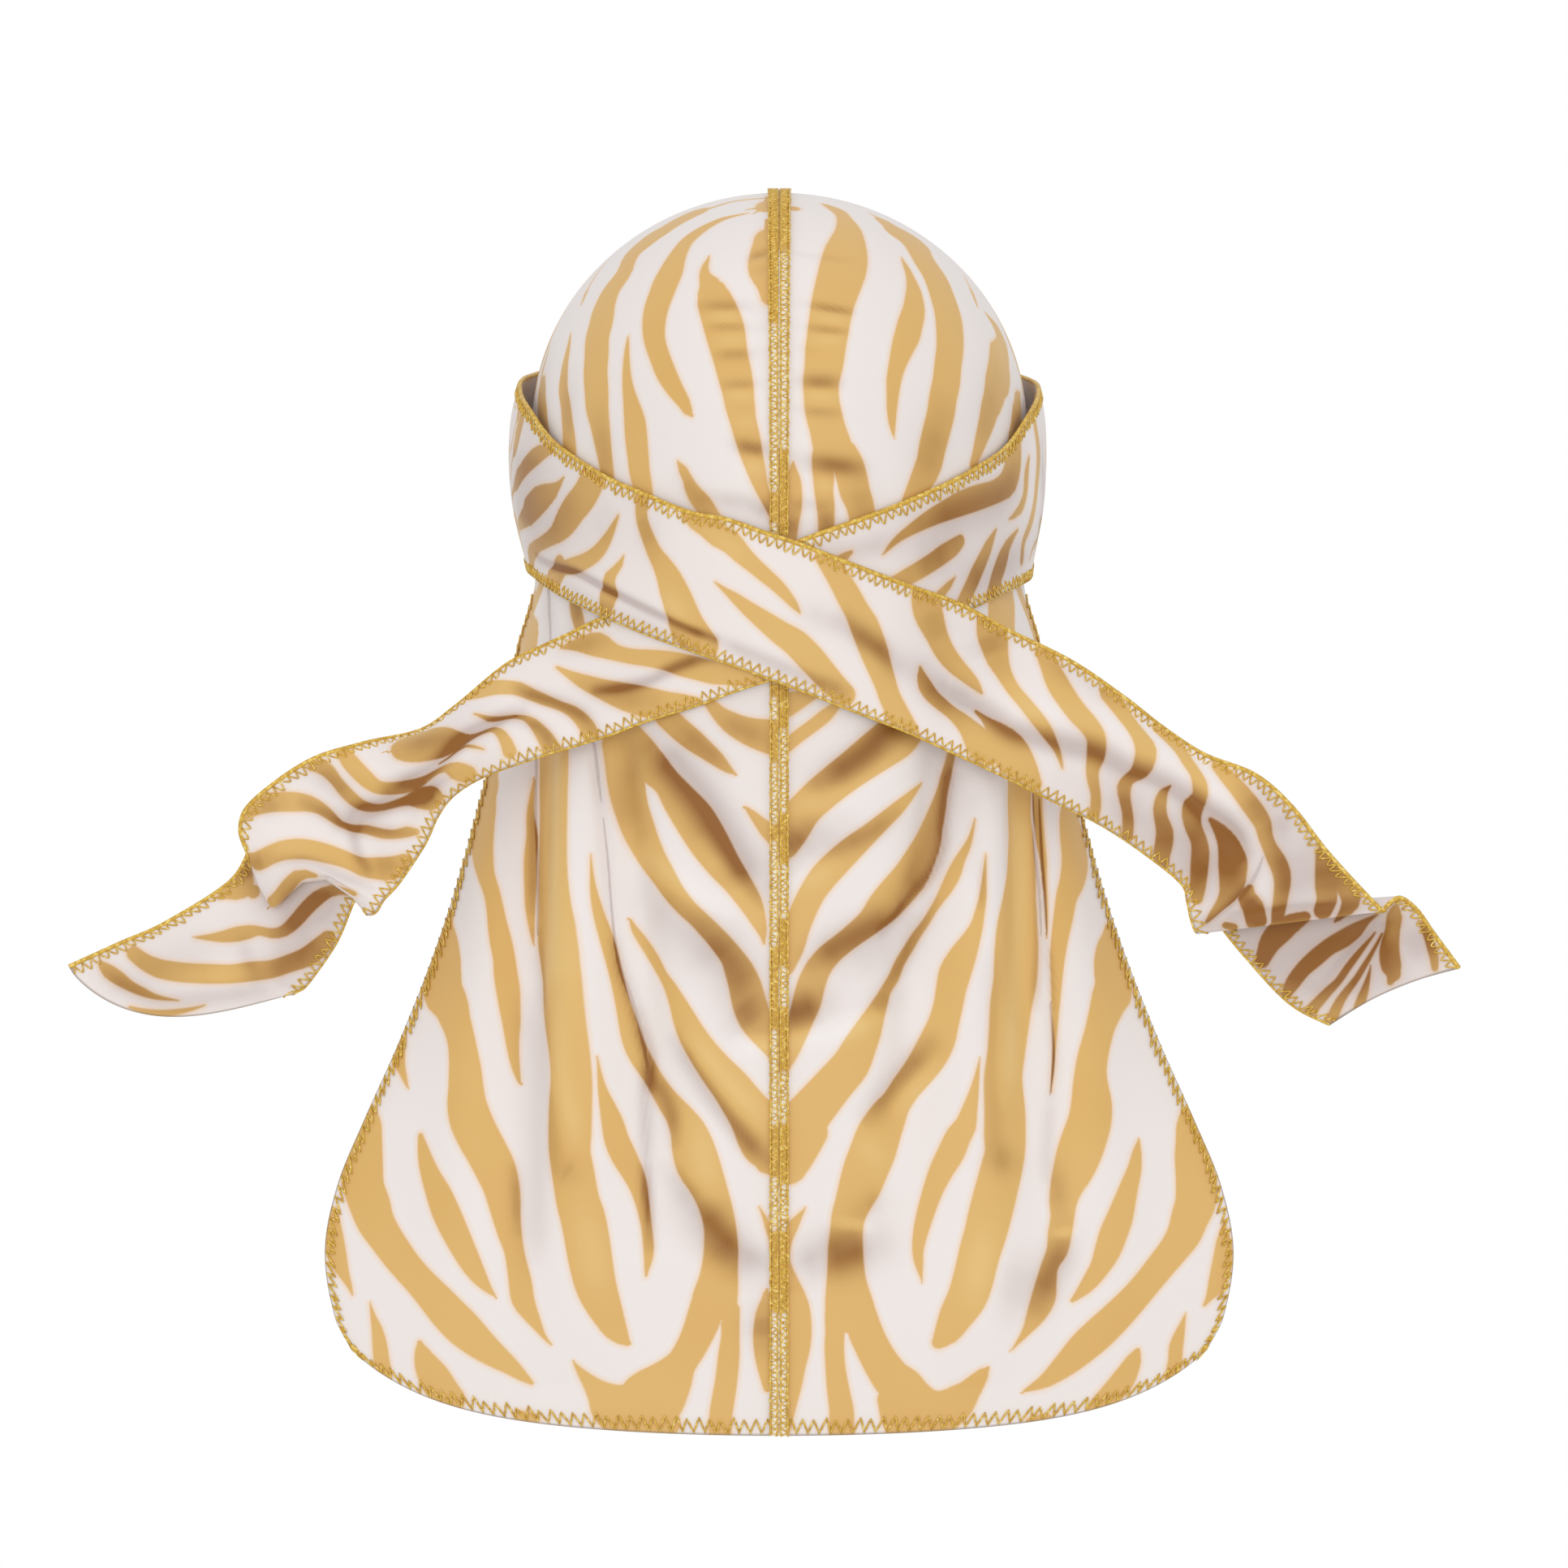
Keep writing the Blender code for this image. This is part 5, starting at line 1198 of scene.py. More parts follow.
rightTieStripes = (
    # round the side
    (1251, 545, 14, 1250, 562, 17, 1247, 580, 21, 1240, 596, 27, 1226, 606, 28, 1205, 613, 31, 1185, 620, 30,
     1165, 629, 25, 1145, 639, 20, 1125, 651, 14, 1108, 663, 9, 1096, 675, 5, 1089, 683, 1),
    (1183, 667, 14, 1174, 675, 20, 1162, 683, 22, 1148, 693, 21, 1132, 703, 21, 1116, 712, 20,
     1100, 722, 20),
    (1227, 653, 2, 1222, 664, 7, 1217, 675, 11, 1214, 682, 12, 1208, 695, 14, 1202, 708, 15, 1196, 722, 15,
     1188, 738, 15, 1181, 750, 12),
    (1177, 711, 1, 1170, 720, 7, 1160, 731, 10, 1150, 742, 11),
    (1254, 653, 2, 1247, 663, 6, 1241, 673, 9, 1237, 684, 12, 1233, 696, 14, 1229, 708, 14, 1225, 722, 14,
     1221, 736, 14),
    (1274, 515, 4, 1279, 550, 4, 1279, 575, 4, 1277, 600, 4, 1275, 620, 4, 1271, 640, 5, 1266, 655, 5,
     1261, 668, 4, 1259, 690, 4),
    (1268, 563, 2, 1265, 582, 5, 1264, 600, 5, 1262, 614, 5, 1257, 627, 8, 1250, 635, 6, 1243, 640, 1),
    (1285, 636, 3, 1285, 648, 8, 1279, 662, 7, 1272, 677, 5, 1268, 690, 3),
    (1050, 680, 4, 1043, 685, 9, 1034, 691, 12),
    # the tail
    (692, 798, 3, 712, 794, 16, 735, 794, 30, 758, 804, 20, 780, 809, 19, 800, 811, 21, 820, 814, 24,
     840, 819, 28, 860, 824, 28, 880, 829, 28, 900, 832, 24, 920, 837, 18, 940, 841, 10),
    (686, 822, 3, 700, 830, 9, 720, 840, 18, 740, 848, 24, 760, 855, 31, 780, 861, 36, 800, 866, 37,
     820, 868, 32, 840, 866, 22, 858, 866, 14),
    (582, 856, 10, 600, 849, 18, 620, 847, 17, 637, 848, 17, 655, 855, 15, 672, 862, 14, 690, 869, 12,
     705, 876, 15, 717, 887, 18, 725, 899, 20, 729, 910, 20),
    (585, 880, 2, 600, 883, 5, 615, 882, 5, 632, 881, 5, 646, 884, 7, 657, 891, 12, 665, 900, 16,
     673, 911, 20, 680, 924, 22),
    (486, 927, 4, 500, 926, 24, 520, 921, 33, 540, 917, 31, 560, 912, 20, 580, 905, 9, 595, 900, 6,
     608, 898, 8, 618, 905, 12, 624, 915, 15, 628, 926, 17),
    (595, 923, 2, 584, 920, 4, 573, 918, 4, 563, 922, 4, 552, 931, 3, 540, 939, 2),
    (575, 954, 22, 563, 950, 22, 550, 947, 10, 537, 952, 7, 525, 960, 9, 512, 967, 14, 495, 971, 16,
     478, 972, 16, 464, 969, 17, 452, 960, 20, 440, 949, 20, 430, 938, 20, 424, 928, 18),
    (530, 984, 29, 517, 984, 25, 502, 987, 13, 488, 991, 9, 472, 995, 8, 457, 995, 10, 444, 991, 13,
     433, 983, 15, 424, 974, 15, 414, 962, 14, 404, 950, 17, 392, 944, 16, 385, 944, 12),
    (300, 1008, 6, 312, 998, 16, 328, 990, 23, 345, 988, 24, 362, 988, 24, 380, 990, 20, 395, 996, 15,
     407, 1005, 12, 420, 1015, 8, 435, 1020, 9, 452, 1022, 11, 470, 1027, 12, 487, 1028, 11, 502, 1025, 13,
     513, 1025, 8),
    (308, 1058, 14, 318, 1061, 23, 332, 1054, 23, 348, 1048, 24, 365, 1046, 25, 382, 1047, 24, 400, 1051, 23,
     417, 1056, 21, 433, 1062, 20, 448, 1068, 23, 465, 1070, 27, 482, 1070, 29, 498, 1064, 24),
    # below the pleat
    (336, 1111, 14, 346, 1102, 16, 356, 1090, 17, 366, 1080, 15, 377, 1077, 10, 388, 1079, 5),
    (241, 1155, 2, 258, 1155, 8, 275, 1154, 14, 292, 1151, 18, 308, 1148, 16, 320, 1147, 11, 335, 1150, 12,
     350, 1147, 14, 364, 1135, 17, 378, 1119, 18, 392, 1106, 18, 407, 1098, 14, 422, 1098, 9, 436, 1101, 6),
    (165, 1175, 18, 178, 1185, 20, 195, 1193, 23, 215, 1197, 24, 235, 1199, 24, 260, 1200, 24, 285, 1200, 23,
     310, 1197, 24, 335, 1194, 22, 357, 1187, 22, 378, 1179, 24, 393, 1168, 24, 404, 1157, 20),
    (125, 1188, 8, 134, 1197, 17, 147, 1206, 17, 160, 1215, 13, 175, 1222, 11, 190, 1228, 7, 205, 1231, 4,
     220, 1233, 1),
    (160, 1241, 3, 178, 1246, 6, 198, 1249, 9, 218, 1247, 7, 238, 1243, 4, 252, 1239, 1),
    (303, 1066, 6, 303, 1080, 18, 297, 1094, 26, 283, 1100, 16, 272, 1104, 8),
    (312, 1098, 16),
)
# hair-thin folds of the ties, painted as lines of shade like those of the panels
leftTieFoldShadeLines = (
    (664, 690, 1, 682, 700, 2, 708, 707, 3, 738, 723, 3, 757, 733, 2, 790, 750, 1),
    (1556, 1056, 1, 1550, 1072, 3, 1541, 1088, 4, 1527, 1105, 4, 1505, 1125, 3, 1490, 1137, 1),
)
rightTieFoldShadeLines = (
    (636, 880, 1, 615, 887, 3, 594, 899, 3, 570, 915, 1),
)
leftTieCreasesAndShade = (
    # the band's left side, and the long crease down from it
    (0, 0.62, 650, 545, 56, 646, 600, 62, 650, 660, 56),
    (0, 0.3, 712, 600, 60, 694, 640, 56, 668, 668, 40),
    (0, 0.25, 760, 620, 44, 730, 665, 44),
    (1, 0.85, 662, 688, 7, 682, 698, 12, 708, 705, 13, 738, 721, 9, 757, 731, 9, 790, 748, 7, 820, 762, 8,
     850, 776, 10, 880, 787, 10),
    (0.8, 0.5, 885, 790, 9, 915, 803, 14, 950, 817, 18, 985, 832, 18, 1004, 842, 16),
    (0, 0.35, 690, 718, 26, 730, 745, 26, 790, 770, 20, 850, 797, 18),
    (0, 0.3, 792, 632, 30, 802, 676, 30),
    (0, -0.3, 818, 730, 26, 842, 768, 26),
    (0, -0.2, 876, 656, 24, 920, 690, 24),
    # the middle, past the crossing
    (0.9, 0.6, 1040, 768, 16, 1062, 784, 26, 1086, 800, 28, 1104, 818, 22),
    (0.5, 0.25, 990, 755, 26, 1040, 772, 26),
    (0.6, 0.35, 1104, 812, 34, 1140, 830, 44, 1172, 848, 34),
    (0, 0.4, 1004, 838, 18, 1040, 853, 18),
    (0, 0.4, 1138, 834, 34, 1156, 860, 34, 1178, 878, 30),
    (0, 0.3, 1142, 750, 46, 1160, 792, 42),
    (0, 0.4, 1214, 780, 54, 1226, 808, 54),
    (0, -0.2, 1250, 850, 20, 1285, 890, 20),
    # the tail's long fold
    (2, 0.75, 1170, 848, 10, 1210, 872, 14, 1245, 899, 18, 1275, 908, 24, 1310, 917, 28, 1350, 926, 34,
     1390, 945, 36, 1420, 955, 36, 1446, 968, 34, 1470, 985, 30, 1490, 1003, 22, 1512, 1022, 18,
     1532, 1048, 14),
    (-1.2, -0.15, 1260, 870, 30, 1310, 880, 30, 1370, 895, 30, 1430, 925, 30, 1480, 960, 30, 1520, 1000, 30),
    (0, 0.25, 1290, 812, 30, 1340, 840, 30, 1372, 862, 30),
    (0, 0.3, 1330, 960, 60, 1400, 1010, 70, 1450, 1070, 70, 1500, 1100, 70),
    (0, 0.25, 1560, 950, 60, 1610, 1020, 70, 1650, 1080, 60),
    (0, 0.35, 1385, 972, 40, 1388, 1022, 40),
    (0, 0.4, 1432, 990, 50, 1434, 1056, 50),
    (0, 0.5, 1470, 1006, 40, 1476, 1092, 44),
    (0, 0.7, 1506, 1022, 40, 1518, 1060, 50, 1514, 1098, 44),
    (0, 0.35, 1540, 978, 34, 1560, 1014, 34),
    (0, 0.6, 1572, 1036, 32, 1581, 1078, 34, 1582, 1118, 30),
    (0, 0.4, 1578, 1000, 30, 1580, 1028, 30),
    (0, 0.5, 1634, 1060, 54, 1646, 1104, 54),
    (0, 0.35, 1606, 1040, 34, 1606, 1112, 30),
    (0, 0.6, 1536, 1104, 26, 1552, 1128, 26),
    (0.9, 0.2, 1556, 1056, 12, 1550, 1072, 12, 1541, 1088, 12, 1527, 1105, 12, 1505, 1125, 12,
     1490, 1137, 12),
    (0.6, 0.5, 1518, 1129, 9, 1560, 1126, 11, 1600, 1121, 13, 1640, 1118, 12),
    (0, 0.55, 1462, 1142, 26, 1500, 1140, 30, 1560, 1134, 32, 1630, 1126, 32, 1700, 1112, 26),
    # below the pleat
    (0, 0.85, 1530, 1150, 50, 1560, 1170, 90, 1600, 1190, 120, 1650, 1192, 120, 1700, 1172, 90,
     1722, 1160, 60),
    (0, 0.25, 1565, 1142, 34, 1600, 1150, 40, 1650, 1146, 36, 1690, 1132, 24),
    (0, 0.45, 1742, 1140, 50, 1762, 1184, 50),
    (0.8, 0.3, 1696, 1134, 10, 1650, 1176, 16, 1620, 1216, 20),
    (0.6, 0.3, 1706, 1136, 8, 1686, 1180, 12, 1672, 1222, 16),
)
rightTieCreasesAndShade = (
    # round the right side
    (0, 0.5, 1140, 640, 44, 1200, 618, 48, 1240, 600, 44, 1256, 570, 34),
    (0, 0.45, 1126, 704, 44, 1172, 678, 44),
    (0, 0.28, 1090, 662, 54, 1200, 645, 54, 1252, 622, 50),
    (0, 0.65, 1180, 724, 46, 1220, 708, 54, 1262, 676, 44),
    (0, 0.5, 1284, 556, 18, 1286, 640, 18, 1274, 672, 16),
    (0.7, 0.35, 1104, 668, 26, 1060, 678, 30, 1010, 682, 22),
    # from the crossing down the tail
    (0.8, 0.7, 735, 850, 12, 775, 845, 14, 800, 838, 12, 825, 825, 15, 850, 815, 16, 876, 808, 12),
    (0, 0.3, 716, 845, 26, 760, 858, 30, 802, 862, 30),
    (0.8, 0.6, 634, 845, 15, 660, 856, 18, 690, 866, 19, 716, 880, 19, 730, 896, 16),
    (0, 0.3, 690, 800, 24, 740, 790, 24),
    (0, -0.2, 612, 846, 22, 640, 846, 22),
    (1.8, 0.85, 640, 877, 8, 615, 884, 12, 590, 896, 16, 570, 910, 18, 550, 930, 20, 530, 948, 22,
     505, 962, 22, 480, 975, 18),
    (-1.2, 0, 560, 890, 30, 520, 915, 34, 470, 940, 34, 430, 960, 30),
    (0, 0.45, 600, 896, 20, 560, 912, 30, 520, 922, 32, 494, 930, 26),
    (0.8, 0.75, 546, 962, 14, 512, 985, 18, 480, 992, 19, 450, 997, 18),
    (0, 0.55, 534, 974, 30, 512, 988, 30),
    (0, 0.5, 640, 886, 16, 668, 900, 18, 684, 926, 18),
    (0.9, 0.65, 472, 994, 20, 446, 1002, 28, 424, 1008, 24),
    (0.6, 0.5, 436, 1010, 12, 437, 1032, 14, 442, 1052, 14, 452, 1070, 14),
    (0, 0.45, 386, 948, 30, 410, 964, 30, 432, 986, 26),
    (0, 0.5, 376, 990, 22, 405, 1004, 22, 426, 1018, 18, 462, 1023, 16, 504, 1026, 16),
    (0, 0.4, 306, 1066, 24, 326, 1060, 24),
    (0, 0.3, 460, 1068, 32, 490, 1064, 30),
    (0.6, 0.35, 345, 1064, 10, 380, 1062, 12, 420, 1078, 14, 455, 1092, 14),
    (0, 0.3, 318, 1000, 24, 345, 990, 24),
    # below the pleat
    (0, 0.6, 338, 1102, 44, 370, 1106, 54, 400, 1110, 54, 424, 1120, 44),
    (0, 0.35, 345, 1146, 32, 376, 1126, 40, 412, 1108, 34),
    (0.6, 0.45, 328, 1216, 44, 350, 1192, 50, 376, 1176, 50, 402, 1150, 40),
    (0.4, 0.42, 130, 1200, 26, 160, 1220, 28, 200, 1236, 28, 250, 1232, 20, 320, 1222, 16),
    (0, 0.45, 300, 1064, 28, 306, 1082, 24),
    (0, -0.15, 220, 1197, 28, 300, 1201, 28),
    (0, 0.3, 330, 1150, 90, 390, 1150, 90),
    (0, 0.3, 150, 1200, 60, 270, 1170, 70),
    (0.6, 0.25, 300, 1160, 18, 308, 1190, 18, 315, 1208, 18),
)


# stripes of the unseen front half, as turn from the forehead, share down from the top edge, and width
tieFrontStrokes = (
    (3, 0, 7, 7, 0.3, 8, 12, 0.6, 7, 20, 0.85, 4, 26, 0.95, 1),
    (14, 0, 3, 20, 0.25, 8, 26, 0.5, 10, 31, 0.8, 9, 34, 1, 8),
    (3, 0.62, 9, 6, 0.8, 8, 9, 1, 7),
    (33, 0, 10, 37, 0.25, 9, 42, 0.45, 6, 48, 0.6, 2),
    (42, 1, 9, 46, 0.8, 9, 52, 0.62, 9, 57, 0.4, 9, 60, 0.2, 8, 60, 0, 8),
    (56, 1, 8, 62, 0.85, 8, 69, 0.7, 6, 76, 0.62, 2),
    (70, 0, 6, 73, 0.2, 9, 78, 0.35, 9, 85, 0.48, 6),
    (74, 1, 9, 80, 0.85, 9, 87, 0.75, 6),
    (87, 0, 5, 91, 0.2, 8, 95, 0.38, 5),
    (91, 1, 8, 96, 0.85, 8, 99, 0.7, 4),
    (84, 0.58, 3, 89, 0.52, 6, 93, 0.56, 5),
)


def drawFront(canvas, grid, places, side):
    middle = grid[:, tieLook["columns"] // 2]
    turns = np.degrees(np.arctan2(side * middle[:, 0], middle[:, 1]))
    turns[places > tieLook["frontLast"]] = np.inf
    for stroke in tieFrontStrokes:
        path, halves = [], []
        for turn, share, width in np.array(stroke, dtype=float).reshape(-1, 3):
            row = np.argmin(np.abs(turns - turn))
            path.append(grid[row, round(share * tieLook["columns"])])
            halves.append(width / 2)
        printStroke(canvas, np.ones(len(canvas["points"]), dtype=bool), np.array(path), np.array(halves))


def makeTie(name, side, wrap, tail, end, stripes, creasesAndShade, foldShadeLines):
    sections = [wrapSection(WrapRow(*row), side) for row in wrap]
    sections += [tailSection(TailRow(*row), -side) for row in tail]
    grid, places = loft(sections)
    grid = bowEnd(grid, *end)
    normals = gridNormals(grid, -side)
    front = grid + normals * clothThickness / 2
    canvas = newCanvas(front, -side)
    # the pleat lays the cloth on itself, so the rows above it and below it are each drawn on by themselves
    below = np.repeat(places > len(wrap) + tieLook["pleatRow"], grid.shape[1])
    for allowed in (~below, below):
        drawStripes(canvas, allowed, stripes)
        drawCreasesAndShade(canvas, allowed, creasesAndShade)
    drawStripes(canvas, ~below, foldShadeLines, fold=True)
    drawFront(canvas, front, places, side)
    canvas["rim"] = rimDistance(grid, top=True)
    relief = canvas["relief"].reshape(grid.shape[:2]) * np.clip(
        canvas["rim"] / tieLook["creaseFade"], 0.0, 1.0)
    relief = relief[:, :, None]
    front = front + normals * relief
    rear = grid - normals * (clothThickness / 2 - relief)
    return sheetMesh(name, front, rear, (tieSatin, clothBack), canvas), grid, normals, places


leftTie, leftTieGrid, leftTieNormals, leftTiePlaces = makeTie(
    "left_tie_cloth", -1, leftWrap, leftTail, tieLook["leftEnd"],
    leftTieStripes, leftTieCreasesAndShade, leftTieFoldShadeLines)
rightTie, rightTieGrid, rightTieNormals, rightTiePlaces = makeTie(
    "right_tie_cloth", 1, rightWrap, rightTail, tieLook["rightEnd"],
    rightTieStripes, rightTieCreasesAndShade, rightTieFoldShadeLines)
print("ties made")


# the seam ridge
def seamPath():
    crownRows, capeRows = panelLook["crownRows"], panelLook["capeRows"]
    spots = [crownPlace(crownRow(k / crownRows, 0.0)[0]) for k in range(crownRows + 1)]
    spots += [(180.0, capeSpot(k / capeRows, 0.0)[1]) for k in range(1, capeRows + 1)]
    path = np.array([tuple(formPoint(*spot)) for spot in spots])
    path[:, 0] = 0.0
    outward = np.cross(unit(np.gradient(path, axis=0)), (1.0, 0.0, 0.0))
    travelled = np.concatenate([[0.0], np.cumsum(np.linalg.norm(np.diff(path, axis=0), axis=1))])
    return path, outward, travelled


# where the stripes cross the seam, as the photograph's y on its left (-1) and right (1)
seamPrints = {
    -1: ((230, 400), (605, 645), (838, 860), (886, 940), (1014, 1038), (1165, 1270), (1385, 1452),
         (1515, 1618)),
    1: ((230, 310), (552, 665), (838, 900), (1000, 1066), (1130, 1192), (1240, 1322), (1382, 1460),
        (1515, 1618)),
}


def seamPrinted(points, side):
    # how far each point of the seam lies inside a printed stretch, faded over a few pixels
    down = (photo["side"] / 2
            - (points[:, 2] - photo["eye"][2]) * photo["focal"] / (points[:, 1] - photo["eye"][1]))
    depth = np.max([np.minimum(down - first, last - down) for first, last in seamPrints[side]], axis=0)
    return np.where(points[:, 1] < 0.0, np.clip(depth / seamSize["printFade"] + 0.5, 0.0, 1.0), 0.0)


# half of the ridge's section: share of its half width, depth below its foot, and share of its height
seamSection = ((-1.0, -clothThickness, 0.0), (-1.0, 0.0, 0.35), (-0.85, 0.0, 0.75), (-0.62, 0.0, 1.0),
               (-0.3, 0.0, 0.97), (-0.1, 0.0, 0.82), (0.0, 0.0, 0.7))


def makeSeam(name):
    path, outward, travelled = seamPath()
    rise = np.clip((travelled - seamSize["lowLength"]) / seamSize["riseLength"], 0.0, 1.0)
    proud = mix(seamSize["lowProud"], seamSize["proud"], rise)
    profile = [*seamSection, *((-x, low, share) for x, low, share in seamSection[-2::-1])]
    shape = bmesh.new()
    rings = []
    for place, lift, height in zip(path, outward, proud):
        half = seamHalf(place[2])
        rings.append([shape.verts.new(Vector(place + (x * half, 0, 0) + lift * (low + height * share)) * mm)
                      for x, low, share in profile])
    for ring, following in zip(rings, rings[1:]):
        for j in range(len(ring)):
            k = (j + 1) % len(ring)
            shape.faces.new([ring[j], ring[k], following[k], following[j]])
    shape.faces.new(rings[0][::-1])
    shape.faces.new(rings[-1])
    bmesh.ops.recalc_face_normals(shape, faces=shape.faces)
    data = bpy.data.meshes.new(name)
    shape.to_mesh(data)
    shape.free()
    data.shade_smooth()
    data.set_sharp_from_angle(angle=math.radians(sharpAngle["seam"]))
    points = np.array([tuple(vertex.co / mm) for vertex in data.vertices])
    printed = np.where(points[:, 0] < 0.0, seamPrinted(points, -1), seamPrinted(points, 1))
    printed = printed.reshape(len(path), len(profile))
    # the underside carries no print
    printed[:, (0, -1)] = 0.0
    data.attributes.new("print", "FLOAT", "POINT").data.foreach_set(
        "value", printed.reshape(-1).astype(np.float32))
    data.materials.append(seamCloth)
    return addObject(name, data), path, outward, travelled, proud


bindingLook = {"ribs": 0.0022, "grain": 0.4, "relief": 0.0003, "roughness": 0.5}


def bindingCloth(name):
    # The turned seam allowance under the stitches: pale satin that the thread pulls into fine ribs about 2 mm
    # apart.
    material, tree, shader = newMaterial(name)
    place = addNode(tree, "ShaderNodeTexCoord").outputs["Object"]
    ribs = addNode(tree, "ShaderNodeTexNoise", {},
                   {"Vector": place, "Scale": 1 / bindingLook["ribs"], "Detail": 3.0})
    inked = addNode(tree, "ShaderNodeAttribute", {"attribute_name": "print"}).outputs["Fac"]
    plain = addNode(tree, *colourMix, {0: ribs, 6: tones["seamDull"], 7: tones["seamPale"]}).outputs[2]
    printed = addNode(tree, *colourMix, {0: ribs, 6: tones["seamTan"], 7: tones["seamTanLit"]}).outputs[2]
    tone = addNode(tree, *colourMix, {0: inked, 6: plain, 7: printed}).outputs[2]
    grain = addNode(tree, "ShaderNodeBump", {},
                    {"Height": ribs, "Strength": bindingLook["grain"], "Distance": bindingLook["relief"]})
    feedNode(tree, shader, {"Base Color": tone, "Roughness": bindingLook["roughness"], "Normal": grain})
    return material


seamCloth = bindingCloth("seam_binding_satin")
seamRidge, seamLine, seamOut, seamRun, seamProud = makeSeam("seam_ridge_cloth")
print("seam made")

# gold stitches, made by one node tree along each edge; sizes in millimetres
stitchInputs = {"Pitch": 3.4, "Depth": 4.4, "Thread": 0.37, "Lift": 0.3, "Round": 0.5, "Wander": 0.12}
stepsInStitch = 8


def stitchTree():
    # a thread of radius Thread runs along the path and swings in from it by Depth; Round goes from a sharp V
    # (0) to a U (1), and Wander is the unevenness of the hand
    tree = bpy.data.node_groups.new("edgeStitch", "GeometryNodeTree")
    tree.interface.new_socket("Geometry", in_out="INPUT", socket_type="NodeSocketGeometry")
    for name, value in stitchInputs.items():
        tree.interface.new_socket(name, in_out="INPUT", socket_type="NodeSocketFloat").default_value = value
    tree.interface.new_socket("Material", in_out="INPUT", socket_type="NodeSocketMaterial")
    tree.interface.new_socket("Geometry", in_out="OUTPUT", socket_type="NodeSocketGeometry")
    given = addNode(tree, "NodeGroupInput").outputs
    curve = addNode(tree, "GeometryNodeMeshToCurve", {}, {"Mesh": given["Geometry"]})
    step = addNode(tree, "ShaderNodeMath", {"operation": "DIVIDE"}, {0: given["Pitch"], 1: stepsInStitch})
    curve = addNode(tree, "GeometryNodeResampleCurve", {"mode": "LENGTH"}, {"Curve": curve, "Length": step})
    # how far through its stitch a point is, as a V and as half a sine
    index = addNode(tree, "GeometryNodeInputIndex")
    beat = addNode(tree, "ShaderNodeMath", {"operation": "DIVIDE"}, {0: index, 1: stepsInStitch / 2})
    sharp = addNode(tree, "ShaderNodeMath", {"operation": "PINGPONG"}, {0: beat, 1: 1.0})
    phase = addNode(tree, "ShaderNodeMath", {"operation": "MODULO"}, {0: beat, 1: 2.0})
    phase = addNode(tree, "ShaderNodeMath", {"operation": "MULTIPLY"}, {0: phase, 1: math.pi / 2})
    rounded = addNode(tree, "ShaderNodeMath", {"operation": "SINE"}, {0: phase})
    swing = addNode(tree, "ShaderNodeMix", {"data_type": "FLOAT"}, {0: given["Round"], 2: sharp, 3: rounded})
    stitch = addNode(tree, "ShaderNodeMath", {"operation": "DIVIDE"}, {0: index, 1: stepsInStitch})
    stitch = addNode(tree, "ShaderNodeMath", {"operation": "FLOOR"}, {0: stitch})
    uneven = addNode(tree, "FunctionNodeRandomValue", {"data_type": "FLOAT"},
                     {2: -1.0, 3: 1.0, "Seed": 7, "ID": stitch}).outputs[1]
    drift = addNode(tree, "ShaderNodeMath", {"operation": "MULTIPLY"}, {0: uneven, 1: given["Wander"]})
    longer = addNode(tree, "ShaderNodeMath", {"operation": "ADD"}, {0: drift, 1: 1.0})
    reach = addNode(tree, "ShaderNodeMath", {"operation": "MULTIPLY"}, {0: given["Depth"], 1: longer})
    reach = addNode(tree, "ShaderNodeMath", {"operation": "MULTIPLY"}, {0: swing, 1: reach})
    sway = addNode(tree, "ShaderNodeMath", {"operation": "MULTIPLY"}, {0: drift, 1: given["Pitch"]})
    sway = addNode(tree, "ShaderNodeMath", {"operation": "MULTIPLY"}, {0: sway, 1: swing})
    inward, outward = (
        addNode(tree, "GeometryNodeInputNamedAttribute", {"data_type": "FLOAT_VECTOR"}, {"Name": name})
        for name in ("inward", "outward"))
    alongEdge = addNode(tree, "ShaderNodeVectorMath", {"operation": "CROSS_PRODUCT"}, {0: inward, 1: outward})
    offset = (0.0, 0.0, 0.0)
    for direction, amount in ((inward, reach), (outward, given["Lift"]), (alongEdge, sway)):
        part = addNode(tree, "ShaderNodeVectorMath", {"operation": "SCALE"}, {0: direction, "Scale": amount})
        offset = addNode(tree, "ShaderNodeVectorMath", {"operation": "ADD"}, {0: offset, 1: part})
    curve = addNode(tree, "GeometryNodeSetPosition", {}, {"Geometry": curve, "Offset": offset})
    ring = addNode(tree, "GeometryNodeCurvePrimitiveCircle", {}, {"Resolution": 5, "Radius": given["Thread"]})
    thread = addNode(tree, "GeometryNodeCurveToMesh", {},
                     {"Curve": curve, "Profile Curve": ring, "Fill Caps": True})
    thread = addNode(tree, "GeometryNodeSetShadeSmooth", {}, {"Geometry": thread})
    thread = addNode(tree, "GeometryNodeRealizeInstances", {}, {"Geometry": thread})
    thread = addNode(tree, "GeometryNodeSetMaterial", {}, {"Geometry": thread, "Material": given["Material"]})
    addNode(tree, "NodeGroupOutput", {}, {"Geometry": thread})
    return tree


edgeStitch = stitchTree()
stitchRuns = {}


